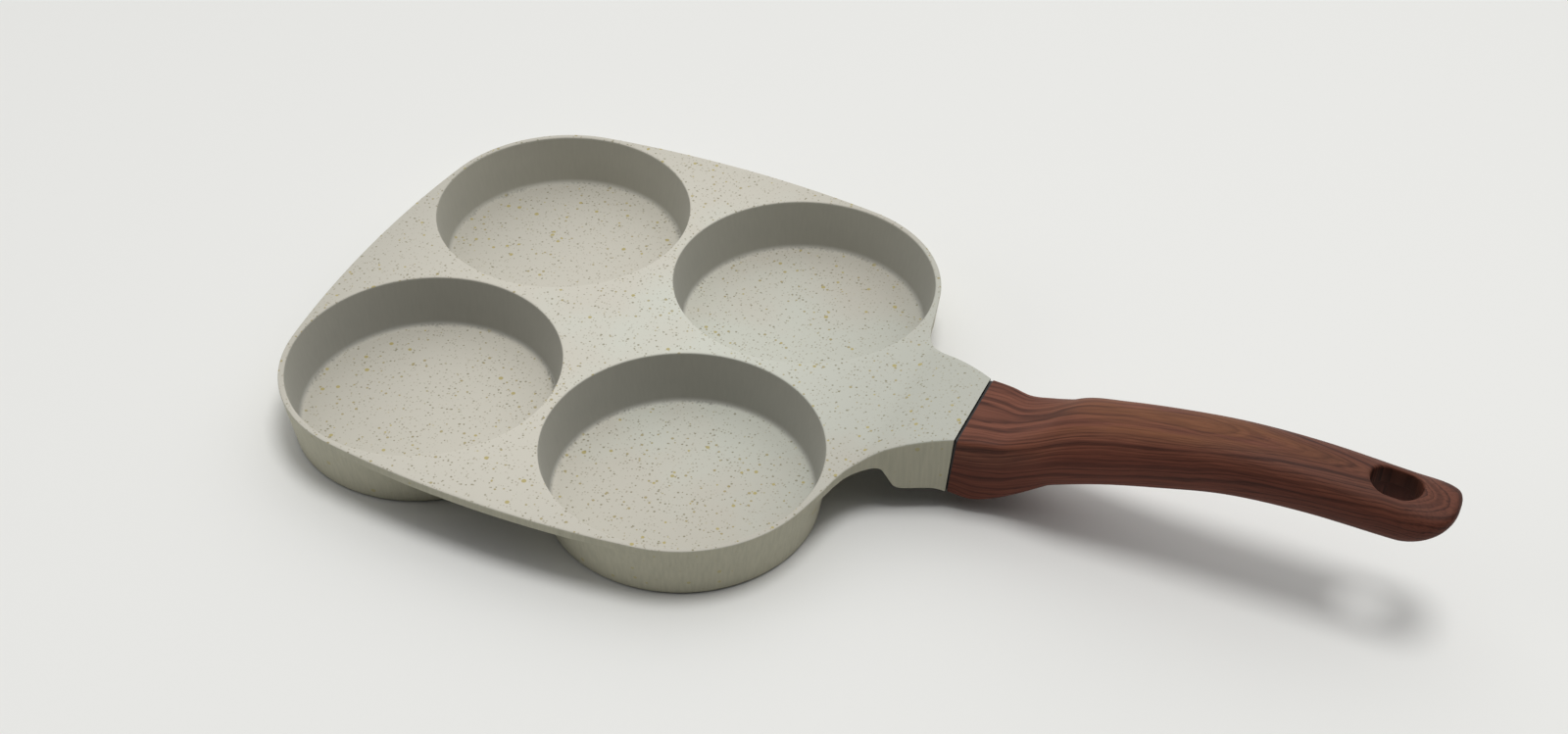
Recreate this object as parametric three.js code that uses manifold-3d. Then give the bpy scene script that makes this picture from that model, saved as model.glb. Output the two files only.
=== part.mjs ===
// Omelette pan: four shallow cups in one die-cast body with a flared neck, and a moulded handle held by
// one screw.
// Millimetres, +Z up. The handle points along +X, and both sides of y = 0 are alike.
// The origin lies on the table, under the middle of the whole length.
import * as THREE from "three";
import { mergeVertices } from "three/addons/utils/BufferGeometryUtils.js";
import Module from "manifold-3d";

const { degToRad } = THREE.MathUtils;
const wasm = await Module();
wasm.setup();

// Cups, measured from the rim plane down
const CUP_RIM_RADIUS = 45;
const CUP_DEPTH = 18.6;
const CUP_DRAFT = degToRad(8.5);
const CUP_WALL = 2;
const CUP_FLOOR = 2.6;
const CUP_FLOOR_FILLET = 2;
const CUP_BASE_ROUND = 1.2;
const CUP_SPACING = 3.8; // web left between two neighbouring rims

// Web that joins the cups
const WEB_THICKNESS = 3.2;
const WEB_DRAFT = degToRad(2);
const SIDE_BULGE = 3.3; // how far the middle of a side stands out past its two corners
const NECK_SIDE_BULGE = 5.8; // the same for the side with the neck

// Neck, which flares into the web, and the boss under it
const NECK_LENGTH = 31.1; // along the ramp, from its foot to the handle joint
const NECK_TO_CUP = 2.6; // from the ramp's foot back to the cups' rims
const NECK_RISE = 7.7;
const NECK_FOOT_RADIUS = 17; // hollow at the foot of the ramp
const NECK_FLARE = degToRad(26.5);
const NECK_FILLET = 22.3; // in plan, where the flare meets the web's side
const BOSS_WIDTH = 32.8;
const BOSS_DEPTH = 12.5; // below the rim plane
const BOSS_FLOOR_LENGTH = 14.4;
const BOSS_FRONT_SLOPE = degToRad(65);
const BOSS_ROOT_FILLET = 3.5;
const BOSS_FOOT_ROUND = 3.9;
const BOSS_LIP = 1.7; // the boss turns down by this much at the joint
const BOSS_LIP_RADIUS = 9.5;
const JOINT_LEAN = degToRad(3.5); // the foot of the joint lies nearer the cups

// Tang on the boss, inside the handle
const TANG_LENGTH = 25;
const TANG_WIDTH = 18;
const TANG_THICKNESS = 9;
const TANG_TOP_COVER = 3.7; // from the neck's top down to the tang
const TANG_EDGE = 2;
const TANG_ROOT = 6; // how deep the tang runs back into the boss
const TANG_CLEARANCE = 0.3;
const TANG_END_CLEARANCE = 1;

// Handle
const GRIP_LENGTH = 148.4;
const JOINT_GAP = 0.2;
const COLLAR_STEP = 0.4; // how far the collar stands out past the boss, all round
const COLLAR_SQUARENESS = 20; // exponent of the superellipse at the joint
const GRIP_SQUARENESS = 2.4; // and along the grip
const COLLAR_LENGTH = 30; // the section has changed from one to the other by here
const COLLAR_EASE = 1.5;
const NOSE_LENGTH = 13; // rounding of the end, seen from above
const NOSE_SQUARENESS = 2.8;
const HEEL_LENGTH = 15; // rounding of the end's underside, seen from the side
const HEEL_SQUARENESS = 1.6;
// Sections along the grip: rise of its top over the neck's top, height and width
const COLLAR_BACK = { along: 7.8, rise: 0.9, height: 25.1, width: 31.4 };
const WAIST_FRONT = { along: 14.8, rise: 1.5, height: 24.1, width: 28.6 };
const WAIST = { along: 22.8, rise: 5.3, height: 23.8, width: 27.5 };
const SHOULDER = { along: 32.8, rise: 11.6, height: 25.2, width: 28.4 };
const PALM_FRONT = { along: 45.8, rise: 15.4, height: 24, width: 26.8 };
const PALM_MIDDLE = { along: 62.8, rise: 19.2, height: 22.8, width: 24.8 };
const PALM_BACK = { along: 82.8, rise: 21.9, height: 20, width: 23.8 };
const CREST = { along: 105.8, rise: 22.5, height: 18.1, width: 23.4 };
const SLOT_FRONT = { along: 130.8, rise: 21, height: 16.5, width: 23 };
const GRIP_END = { rise: 19.8, height: 15.2, width: 22.6 };

// Hang slot through the handle's end
const SLOT_LENGTH = 15.6;
const SLOT_WIDTH = 12;
const SLOT_TO_END = 11.2;

// Screw from below, its washers and their pocket
const SCREW_ALONG = 13; // from the joint
const SCREW_RADIUS = 2;
const SCREW_ENGAGEMENT = 7.5;
const SCREW_TIP = 0.6;
const SCREW_CLEARANCE = 0.25;
const SCREW_SEAT_WALL = 3.2; // handle left between the washer and the tang
const HEAD_RADIUS = 3.9;
const HEAD_HEIGHT = 2.5;
const RECESS_WIDTH = 1;
const RECESS_LENGTH = 4.4;
const RECESS_DEPTH = 1.4;
const WASHER_RADIUS = 4.5;
const WASHER_THICKNESS = 0.9;
const SPRING_WASHER_RADIUS = 3.8;
const SPRING_WASHER_THICKNESS = 1;
const SPRING_WASHER_SPLIT = 0.8;
const POCKET_CLEARANCE = 0.7;
const STACK_GAP = 0.1;

// Induction discs pressed into the cup bases
const DISC_RADIUS = 33;
const DISC_THICKNESS = 0.6;
const DISC_INSET = 0.2;
const DISC_CLEARANCE = 0.2;
const DISC_SEAT_GAP = 0.1;
const DISC_HOLE_RADIUS = 1.7;
const DISC_RING_PITCH = 8.4;
const DISC_RINGS = 3; // ring k holds 6 k holes

// Facets
const CUP_SIDES = 48;
const SCREW_SIDES = 20;
const HOLE_SIDES = 8;
const ARC_STEPS = 3;
const RAMP_STEPS = 6;
const CORNER_STEPS = 10;
const SIDE_STEPS = 6;
const GRIP_SIDES = 36;
const GRIP_RINGS = 26;
const NOSE_RINGS = 7;

// Places worked out from the sizes, with z = 0 on the rim plane and the four cups round the z axis
const HALF_PITCH = CUP_RIM_RADIUS + CUP_SPACING / 2;
const BASE_Z = -CUP_DEPTH - CUP_FLOOR;
const CORNER_RADIUS = CUP_RIM_RADIUS + CUP_WALL;
const SIDE_REACH = HALF_PITCH + CORNER_RADIUS + SIDE_BULGE;
const RAMP_X = HALF_PITCH + CUP_RIM_RADIUS + NECK_TO_CUP;
const JOINT_X = RAMP_X + NECK_LENGTH;
const BOSS_FOOT_Z = -BOSS_DEPTH - BOSS_LIP;
const TANG_TOP_Z = NECK_RISE - TANG_TOP_COVER;
const TANG_FOOT_Z = TANG_TOP_Z - TANG_THICKNESS;
const GRIP_X = JOINT_X + JOINT_GAP;
const COLLAR_HEIGHT = NECK_RISE - BOSS_FOOT_Z + COLLAR_STEP;
const COLLAR_WIDTH = BOSS_WIDTH + 2 * COLLAR_STEP;
const SEAT_Z = TANG_FOOT_Z - TANG_CLEARANCE - SCREW_SEAT_WALL;
const SCREW_X = JOINT_X + SCREW_ALONG;

// Where the joint face lies at a height: it leans, top outwards.
const jointX = (z) => JOINT_X - (NECK_RISE - z) * Math.tan(JOINT_LEAN);

const vec = (x, y) => new THREE.Vector2(x, y);

// A closed geometry as a solid that can be joined and cut.
function solid(geometry) {
  const bare = new THREE.BufferGeometry().setAttribute("position", geometry.getAttribute("position"));
  const merged = mergeVertices(bare.setIndex(geometry.index), 1e-4);
  const corners = merged.index.array;
  const triangles = [];
  for (let i = 0; i < corners.length; i += 3) {
    const [a, b, c] = corners.subarray(i, i + 3);
    if (a !== b && b !== c && c !== a) triangles.push(a, b, c);
  }
  return new wasm.Manifold(
    new wasm.Mesh({
      numProp: 3,
      vertProperties: merged.attributes.position.array,
      triVerts: new Uint32Array(triangles),
    }),
  );
}

// A solid as a named mesh with its own material.
function mesh(name, made, color, roughness, metalness) {
  const { vertProperties, triVerts } = made.getMesh();
  const geometry = new THREE.BufferGeometry()
    .setAttribute("position", new THREE.BufferAttribute(vertProperties, 3))
    .setIndex(new THREE.BufferAttribute(triVerts, 1));
  geometry.computeVertexNormals();
  const piece = new THREE.Mesh(geometry, new THREE.MeshStandardMaterial({ color, roughness, metalness }));
  piece.name = name;
  return piece;
}

// A profile of radius and height, turned round the z axis. It runs up its outer side.
const turned = (profile, sides) => solid(new THREE.LatheGeometry(profile, sides).rotateX(Math.PI / 2));

// A plain upright cylinder from one height to another.
const cylinder = (radius, low, high, sides) =>
  turned([vec(0, low), vec(radius, low), vec(radius, high), vec(0, high)], sides);

// An outline of x and y raised from one height to another.
function raised(outline, low, high) {
  const shape = new THREE.Shape(outline);
  const block = new THREE.ExtrudeGeometry(shape, { depth: high - low, bevelEnabled: false });
  return solid(block.translate(0, 0, low));
}

// Rings of points, each as long as the last, skinned into a closed body. The rings turn anticlockwise
// seen from the last ring, and the two ends are closed by fans.
function lofted(rings) {
  const count = rings[0].length;
  const middle = (ring) =>
    ring.reduce((sum, point) => sum.add(point), new THREE.Vector3()).divideScalar(ring.length);
  const points = [...rings.flat(), middle(rings[0]), middle(rings.at(-1))];
  const first = points.length - 2;
  const last = points.length - 1;
  const index = [];
  for (let k = 0; k < count; k += 1) {
    const next = (k + 1) % count;
    for (let ring = 0; ring + 1 < rings.length; ring += 1) {
      const low = ring * count;
      const high = low + count;
      index.push(low + k, low + next, high + next, low + k, high + next, high + k);
    }
    const top = (rings.length - 1) * count;
    index.push(first, next, k, last, top + k, top + next);
  }
  return solid(new THREE.BufferGeometry().setFromPoints(points).setIndex(index));
}

// Points of an arc round a centre, both ends included.
function arc(centre, radius, from, to, steps) {
  return Array.from({ length: steps + 1 }, (_, k) => {
    const angle = from + ((to - from) * k) / steps;
    return vec(centre.x + radius * Math.cos(angle), centre.y + radius * Math.sin(angle));
  });
}

// The arc that rounds a corner between the points before and after it.
function roundedCorner(before, corner, after, radius) {
  const back = before.clone().sub(corner).normalize();
  const ahead = after.clone().sub(corner).normalize();
  const half = Math.acos(back.dot(ahead)) / 2;
  const toCentre = back.clone().add(ahead).setLength(radius / Math.sin(half));
  const start = back.clone().multiplyScalar(radius / Math.tan(half)).sub(toCentre);
  const sweep = (Math.PI - 2 * half) * -Math.sign(back.cross(ahead));
  return arc(corner.clone().add(toCentre), radius, start.angle(), start.angle() + sweep, ARC_STEPS);
}

// The four cup centres, named by their place with the handle on the right.
const CUPS = [
  ["back_right", 1, 1],
  ["back_left", -1, 1],
  ["front_left", -1, -1],
  ["front_right", 1, -1],
].map(([place, x, y]) => ({ place, x: x * HALF_PITCH, y: y * HALF_PITCH }));
const atEachCup = (made) => CUPS.map(({ x, y }) => made.translate([x, y, 0]));

// Inside of a cup: a flat floor, a fillet and a drafted wall that runs on past the rim.
function cupInside() {
  const floorRadius = CUP_RIM_RADIUS - CUP_DEPTH * Math.tan(CUP_DRAFT);
  const past = WEB_THICKNESS;
  const floorEdge = vec(floorRadius, -CUP_DEPTH);
  const mouth = vec(CUP_RIM_RADIUS + past * Math.tan(CUP_DRAFT), past);
  const centre = vec(0, -CUP_DEPTH);
  const fillet = roundedCorner(centre, floorEdge, mouth, CUP_FLOOR_FILLET);
  return turned([centre, ...fillet, mouth, vec(0, past)], CUP_SIDES);
}

// Outside of a cup: the same draft one wall further out, from the base to half way up the web.
function cupOutside() {
  const radiusAt = (z) => CORNER_RADIUS + z * Math.tan(CUP_DRAFT);
  const top = -WEB_THICKNESS / 2;
  const baseEdge = vec(radiusAt(BASE_Z), BASE_Z);
  const shoulder = vec(radiusAt(top), top);
  const centre = vec(0, BASE_Z);
  const round = roundedCorner(centre, baseEdge, shoulder, CUP_BASE_ROUND);
  return turned([centre, ...round, shoulder, vec(0, top)], CUP_SIDES);
}

// The arc of a side with a given bulge, drawn on the right: its centre on the x axis, its radius, and the
// angle at which it runs into the arcs that lie concentric with the cups.
function sideArc(bulge) {
  const radius = CORNER_RADIUS + bulge / 2 + HALF_PITCH ** 2 / (2 * bulge);
  const centre = vec(HALF_PITCH + CORNER_RADIUS + bulge - radius, 0);
  return { radius, centre, meet: Math.atan2(HALF_PITCH, HALF_PITCH - centre.x) };
}

// The web's outline: a shallow arc on each side, tangent to arcs that run concentric with the cups.
function webOutline(inset) {
  const sides = [NECK_SIDE_BULGE, SIDE_BULGE, SIDE_BULGE, SIDE_BULGE].map(sideArc);
  const cup = vec(HALF_PITCH, HALF_PITCH);
  const axis = vec(0, 0);
  return sides.flatMap(({ radius, centre, meet }, turn) => {
    const nextMeet = sides[(turn + 1) % sides.length].meet;
    const side = arc(centre, radius - inset, -meet, meet, SIDE_STEPS);
    const corner = arc(cup, CORNER_RADIUS - inset, meet, Math.PI / 2 - nextMeet, CORNER_STEPS);
    return [...side, ...corner.slice(1, -1)].map((point) => point.rotateAround(axis, (turn * Math.PI) / 2));
  });
}

// The web: a plate whose edge has a little draft.
function web() {
  const level = (inset, z) => webOutline(inset).map(({ x, y }) => new THREE.Vector3(x, y, z));
  return lofted([level(WEB_THICKNESS * Math.tan(WEB_DRAFT), -WEB_THICKNESS), level(0, 0)]);
}

// The neck seen from above: a straight flare, rounded into the arc of the web's side.
function neckPlan() {
  const along = vec(-Math.cos(NECK_FLARE), Math.sin(NECK_FLARE));
  const outward = vec(Math.sin(NECK_FLARE), Math.cos(NECK_FLARE));
  const side = sideArc(NECK_SIDE_BULGE);
  const jointCorner = vec(JOINT_X, BOSS_WIDTH / 2);
  // The fillet's centre lies one fillet off the flare line and one fillet off the side's arc.
  const offset = jointCorner.clone().addScaledVector(outward, NECK_FILLET).sub(side.centre);
  const reach = side.radius + NECK_FILLET;
  const b = offset.dot(along);
  const run = -b - Math.sqrt(b * b - offset.lengthSq() + reach * reach);
  const toFillet = offset.addScaledVector(along, run);
  const filletCentre = side.centre.clone().add(toFillet);
  const fillet = arc(
    filletCentre,
    NECK_FILLET,
    Math.PI * 1.5 - NECK_FLARE,
    toFillet.clone().negate().angle(),
    RAMP_STEPS,
  );
  const pastJoint = jointCorner.clone().addScaledVector(along, -NECK_RISE);
  const half = [pastJoint, ...fillet, vec(HALF_PITCH, HALF_PITCH)];
  return [...half, ...half.map(({ x, y }) => vec(x, -y)).reverse()];
}

// The neck seen from the side: a ramp of two tangent arcs, the leaning joint, the boss with its
// turned-down lip and sloping front, and the underside of the web.
function neckProfile() {
  const foot = vec(RAMP_X, 0);
  const slope = 2 * Math.atan2(NECK_RISE, JOINT_X - foot.x);
  const crownRadius = NECK_RISE / (1 - Math.cos(slope)) - NECK_FOOT_RADIUS;
  const hollowCentre = vec(foot.x, NECK_FOOT_RADIUS);
  const crownCentre = vec(JOINT_X, NECK_RISE - crownRadius);
  const upright = Math.PI / 2;
  const hollow = arc(hollowCentre, NECK_FOOT_RADIUS, -upright, slope - upright, RAMP_STEPS);
  const crown = arc(crownCentre, crownRadius, upright + slope, upright, RAMP_STEPS);
  const jointFoot = vec(jointX(BOSS_FOOT_Z), BOSS_FOOT_Z);
  const lipAngle = Math.acos(1 - BOSS_LIP / BOSS_LIP_RADIUS);
  const lipCentre = vec(
    jointFoot.x - BOSS_LIP_RADIUS * Math.sin(lipAngle),
    -BOSS_DEPTH - BOSS_LIP_RADIUS,
  );
  const lip = arc(lipCentre, BOSS_LIP_RADIUS, upright - lipAngle, upright, ARC_STEPS);
  const bossFront = vec(jointFoot.x - BOSS_FLOOR_LENGTH, -BOSS_DEPTH);
  const frontRun = (BOSS_DEPTH - WEB_THICKNESS) / Math.tan(BOSS_FRONT_SLOPE);
  const bossRoot = vec(bossFront.x - frontRun, -WEB_THICKNESS);
  const underWeb = vec(HALF_PITCH, -WEB_THICKNESS);
  return [
    vec(HALF_PITCH, 0),
    ...hollow,
    ...crown.slice(1),
    ...lip,
    ...roundedCorner(lipCentre.clone().setY(-BOSS_DEPTH), bossFront, bossRoot, BOSS_FOOT_ROUND),
    ...roundedCorner(bossFront, bossRoot, underWeb, BOSS_ROOT_FILLET),
    underWeb,
  ];
}

// The neck: what its plan and its side profile have in common.
function neck() {
  const high = NECK_RISE + WEB_THICKNESS;
  const low = BOSS_FOOT_Z - WEB_THICKNESS;
  const halfDepth = HALF_PITCH + CORNER_RADIUS;
  const side = raised(neckProfile().reverse(), -halfDepth, halfDepth).rotate([90, 0, 0]);
  return raised(neckPlan(), low, high).intersect(side);
}

// A bar along x with rounded edges: the tang, or with a margin all round, its socket.
function tangBar(from, to, margin) {
  const half = TANG_WIDTH / 2 + margin;
  const corners = [
    vec(-half, TANG_FOOT_Z - margin),
    vec(half, TANG_FOOT_Z - margin),
    vec(half, TANG_TOP_Z + margin),
    vec(-half, TANG_TOP_Z + margin),
  ];
  const outline = corners.flatMap((corner, k) =>
    roundedCorner(corners.at(k - 1), corner, corners[(k + 1) % corners.length], TANG_EDGE + margin),
  );
  // The outline's first axis becomes y and its second z as the bar is turned to run along x.
  return raised(outline, from, to).rotate([90, 0, 90]);
}

// The casting: cups, web, neck and tang in one, hollowed by the cups, the disc seats and the screw hole.
function castingSolid() {
  const seatTop = BASE_Z + DISC_INSET + DISC_THICKNESS + DISC_SEAT_GAP;
  const discSeat = cylinder(DISC_RADIUS + DISC_CLEARANCE, BASE_Z - CUP_FLOOR, seatTop, CUP_SIDES);
  const holeRadius = SCREW_RADIUS + SCREW_CLEARANCE;
  const screwHole = cylinder(
    holeRadius,
    TANG_FOOT_Z - TANG_THICKNESS,
    TANG_TOP_Z + TANG_THICKNESS,
    SCREW_SIDES,
  );
  const tangStart = jointX(BOSS_FOOT_Z) - TANG_ROOT;
  const whole = wasm.Manifold.union([
    web(),
    neck(),
    tangBar(tangStart, JOINT_X + TANG_LENGTH, 0),
    ...atEachCup(cupOutside()),
  ]);
  return wasm.Manifold.difference([
    whole,
    ...atEachCup(cupInside()),
    ...atEachCup(discSeat),
    screwHole.translate([SCREW_X, 0, 0]),
  ]);
}

// Rise, height and width of the grip along its length, through its sections.
const gripSections = [
  { along: 0, rise: 0, height: COLLAR_HEIGHT, width: COLLAR_WIDTH },
  COLLAR_BACK,
  WAIST_FRONT,
  WAIST,
  SHOULDER,
  PALM_FRONT,
  PALM_MIDDLE,
  PALM_BACK,
  CREST,
  SLOT_FRONT,
  { along: GRIP_LENGTH, ...GRIP_END },
].filter(({ along }) => along === GRIP_LENGTH || along < GRIP_LENGTH - NOSE_LENGTH / 2);
const gripLine = new THREE.CubicInterpolant(
  gripSections.map(({ along }) => along),
  gripSections.flatMap(({ rise, height, width }) => [rise, height, width]),
  3,
);

// How much of a size is left in the last stretch of the grip: 1 before it and 0 at the tip.
function nose(along, length, squareness) {
  const share = Math.max(0, (along - GRIP_LENGTH + length) / length);
  return Math.max(0, 1 - share ** squareness) ** (1 / squareness);
}

// A section of the grip: a superellipse, nearly a rectangle at the collar and round along the grip.
function gripRing(along) {
  const [rise, height, width] = gripLine.evaluate(along);
  const collar = Math.max(0, 1 - along / COLLAR_LENGTH);
  const power = 2 / (GRIP_SQUARENESS + (COLLAR_SQUARENESS - GRIP_SQUARENESS) * collar ** COLLAR_EASE);
  const top = NECK_RISE + rise;
  const halfHeight = (height / 2) * nose(along, HEEL_LENGTH, HEEL_SQUARENESS);
  const halfWidth = (width / 2) * nose(along, NOSE_LENGTH, NOSE_SQUARENESS);
  const lean = Math.tan(JOINT_LEAN) * collar;
  return Array.from({ length: GRIP_SIDES }, (_, k) => {
    const angle = (2 * Math.PI * k) / GRIP_SIDES;
    const [c, s] = [Math.cos(angle), Math.sin(angle)];
    const y = halfWidth * Math.sign(c) * Math.abs(c) ** power;
    const z = top - halfHeight + halfHeight * Math.sign(s) * Math.abs(s) ** power;
    return new THREE.Vector3(GRIP_X + along - lean * (top - z), y, z);
  });
}

// The handle: lofted sections closed by a rounded nose, with the tang's socket, the hang slot and the
// screw's hole and pocket cut out of it.
function gripSolid() {
  const noseStart = GRIP_LENGTH - HEEL_LENGTH;
  const body = Array.from({ length: GRIP_RINGS }, (_, k) => (noseStart * k) / GRIP_RINGS);
  const end = Array.from(
    { length: NOSE_RINGS + 1 },
    (_, k) => noseStart + HEEL_LENGTH * Math.sin((k / NOSE_RINGS) * (Math.PI / 2)),
  );
  const slotRound = SLOT_WIDTH / 2;
  const slotEnd = GRIP_X + GRIP_LENGTH - SLOT_TO_END - slotRound;
  const slotStart = slotEnd - SLOT_LENGTH + SLOT_WIDTH;
  const quarter = Math.PI / 2;
  const slotOutline = [
    ...arc(vec(slotEnd, 0), slotRound, -quarter, quarter, HOLE_SIDES),
    ...arc(vec(slotStart, 0), slotRound, quarter, 3 * quarter, HOLE_SIDES),
  ];
  // The cuts run on well past the handle's skin.
  const below = BOSS_FOOT_Z - COLLAR_HEIGHT;
  const above = NECK_RISE + GRIP_LENGTH;
  const slot = raised(slotOutline, below, above);
  const socket = tangBar(JOINT_X - TANG_ROOT, JOINT_X + TANG_LENGTH + TANG_END_CLEARANCE, TANG_CLEARANCE);
  const pocket = cylinder(WASHER_RADIUS + POCKET_CLEARANCE, below, SEAT_Z, SCREW_SIDES);
  const screwHole = cylinder(SCREW_RADIUS + SCREW_CLEARANCE, below, TANG_FOOT_Z, SCREW_SIDES);
  return wasm.Manifold.difference([
    lofted([...body, ...end].map(gripRing)),
    slot,
    socket,
    pocket.translate([SCREW_X, 0, 0]),
    screwHole.translate([SCREW_X, 0, 0]),
  ]);
}

// A flat ring between two radii.
function flatRing(inner, outer, low, high) {
  const start = vec(inner, low);
  return turned([start, vec(outer, low), vec(outer, high), vec(inner, high), start], SCREW_SIDES);
}

// Levels of the screw's stack, from the seat in the handle downwards.
const WASHER_TOP = SEAT_Z - STACK_GAP;
const SPRING_TOP = WASHER_TOP - WASHER_THICKNESS - STACK_GAP;
const HEAD_TOP = SPRING_TOP - SPRING_WASHER_THICKNESS - STACK_GAP;
const HEAD_FOOT = HEAD_TOP - HEAD_HEIGHT;

const washerSolid = () =>
  flatRing(SCREW_RADIUS + SCREW_CLEARANCE, WASHER_RADIUS, WASHER_TOP - WASHER_THICKNESS, WASHER_TOP);

// A spring washer pressed flat, with its split.
function springWasherSolid() {
  const low = SPRING_TOP - SPRING_WASHER_THICKNESS;
  const ring = flatRing(SCREW_RADIUS + SCREW_CLEARANCE, SPRING_WASHER_RADIUS, low, SPRING_TOP);
  const split = new THREE.BoxGeometry(
    2 * SPRING_WASHER_RADIUS,
    SPRING_WASHER_SPLIT,
    3 * SPRING_WASHER_THICKNESS,
  ).translate(SPRING_WASHER_RADIUS, 0, SPRING_TOP);
  return ring.subtract(solid(split));
}

// A pan-head screw, head down, with a crossed recess.
function screwSolid() {
  const tip = TANG_FOOT_Z + SCREW_ENGAGEMENT;
  const dome = arc(
    vec(HEAD_RADIUS - HEAD_HEIGHT / 2, HEAD_FOOT + HEAD_HEIGHT / 2),
    HEAD_HEIGHT / 2,
    -Math.PI / 2,
    0,
    ARC_STEPS,
  );
  const profile = [
    vec(0, HEAD_FOOT),
    ...dome,
    vec(HEAD_RADIUS, HEAD_TOP),
    vec(SCREW_RADIUS, HEAD_TOP),
    vec(SCREW_RADIUS, tip - SCREW_TIP),
    vec(SCREW_RADIUS - SCREW_TIP, tip),
    vec(0, tip),
  ];
  const bar = new THREE.BoxGeometry(RECESS_LENGTH, RECESS_WIDTH, 2 * RECESS_DEPTH);
  const cross = solid(bar.translate(0, 0, HEAD_FOOT));
  return turned(profile, SCREW_SIDES).subtract(cross.add(cross.rotate([0, 0, 90])));
}

// A punched disc: rings of round holes in a round plate.
function discSolid() {
  const circle = (x, y, radius, sides) => arc(vec(x, y), radius, 0, 2 * Math.PI, sides).slice(1);
  const plate = new THREE.Shape(circle(0, 0, DISC_RADIUS, CUP_SIDES));
  for (let ring = 1; ring <= DISC_RINGS; ring += 1) {
    for (let k = 0; k < 6 * ring; k += 1) {
      const place = vec(ring * DISC_RING_PITCH, 0).rotateAround(vec(0, 0), (Math.PI * k) / (3 * ring));
      plate.holes.push(new THREE.Path(circle(place.x, place.y, DISC_HOLE_RADIUS, HOLE_SIDES)));
    }
  }
  const blank = new THREE.ExtrudeGeometry(plate, { depth: DISC_THICKNESS, bevelEnabled: false });
  return solid(blank.translate(0, 0, BASE_Z + DISC_INSET));
}

// The assembly, moved so that the origin is on the table under the middle of the length
const pan = new THREE.Group();
pan.position.set((SIDE_REACH - GRIP_X - GRIP_LENGTH) / 2, 0, -BASE_Z);
pan.add(mesh("pan_casting", castingSolid(), "#cbc8bd", 0.6, 0));
pan.add(mesh("handle_grip", gripSolid(), "#6b4133", 0.5, 0));

const fixing = new THREE.Group();
fixing.position.x = SCREW_X;
fixing.add(mesh("handle_screw", screwSolid(), "#b9bab8", 0.35, 1));
fixing.add(mesh("plain_washer", washerSolid(), "#b4b5b3", 0.4, 1));
fixing.add(mesh("spring_washer", springWasherSolid(), "#8f9190", 0.4, 1));
pan.add(fixing);

const disc = discSolid();
for (const { place, x, y } of CUPS) {
  const piece = mesh(`induction_disc_${place}`, disc, "#a9a8a4", 0.35, 1);
  piece.position.set(x, y, 0);
  pan.add(piece);
}

const part = new THREE.Group();
part.add(pan);

export default part;
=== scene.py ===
# Omelette pan: a die-cast body of four cups with a stone-effect coat, and a moulded handle with a
# printed wood grain, held from below by one screw. Metres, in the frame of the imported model.
from functools import partial

import bmesh
import bpy
import numpy as np
from mathutils import Matrix, Vector


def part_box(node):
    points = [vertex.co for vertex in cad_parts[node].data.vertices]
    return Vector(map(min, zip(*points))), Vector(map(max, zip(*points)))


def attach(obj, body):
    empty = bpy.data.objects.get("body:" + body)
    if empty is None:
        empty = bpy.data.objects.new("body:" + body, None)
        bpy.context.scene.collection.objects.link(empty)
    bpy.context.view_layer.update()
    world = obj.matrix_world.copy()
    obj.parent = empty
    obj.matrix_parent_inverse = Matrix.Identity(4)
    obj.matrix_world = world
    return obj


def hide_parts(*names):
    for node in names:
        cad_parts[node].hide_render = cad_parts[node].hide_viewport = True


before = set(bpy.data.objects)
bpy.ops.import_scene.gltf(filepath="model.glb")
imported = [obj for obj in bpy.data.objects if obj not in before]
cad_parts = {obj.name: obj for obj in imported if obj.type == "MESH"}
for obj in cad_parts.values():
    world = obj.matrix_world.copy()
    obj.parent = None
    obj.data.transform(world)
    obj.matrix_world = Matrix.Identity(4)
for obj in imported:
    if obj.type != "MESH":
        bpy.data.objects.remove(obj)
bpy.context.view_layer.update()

# Camera
# A phone held over the front of the table, a little to the right of the cups, and looking down at
# them. It is tilted by about a degree.
IMAGE_WIDTH = 1600
FOCAL_PIXELS = 2211.7
CAMERA_TARGET = Vector((-0.0285, 0.00125, 0.0212))
CAMERA_DISTANCE = 0.707
CAMERA_AZIMUTH, CAMERA_ELEVATION, CAMERA_ROLL = np.radians((23.7, 40.2, 1.145))

scene = bpy.context.scene
back_x = np.sin(CAMERA_AZIMUTH) * np.cos(CAMERA_ELEVATION)
back_y = -np.cos(CAMERA_AZIMUTH) * np.cos(CAMERA_ELEVATION)
view_back = Vector((back_x, back_y, np.sin(CAMERA_ELEVATION)))
level_right = Vector((np.cos(CAMERA_AZIMUTH), np.sin(CAMERA_AZIMUTH), 0))
level_up = view_back.cross(level_right)
view_right = level_right * np.cos(CAMERA_ROLL) + level_up * np.sin(CAMERA_ROLL)
view_up = level_up * np.cos(CAMERA_ROLL) - level_right * np.sin(CAMERA_ROLL)
view_turn = Matrix((view_right, view_up, view_back)).transposed().to_4x4()
camera = bpy.data.objects.new("camera", bpy.data.cameras.new("camera"))
camera.data.lens = camera.data.sensor_width * FOCAL_PIXELS / IMAGE_WIDTH
camera.matrix_world = Matrix.Translation(CAMERA_TARGET + view_back * CAMERA_DISTANCE) @ view_turn
scene.collection.objects.link(camera)
scene.camera = camera
scene.view_settings.view_transform = "Standard"

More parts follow.
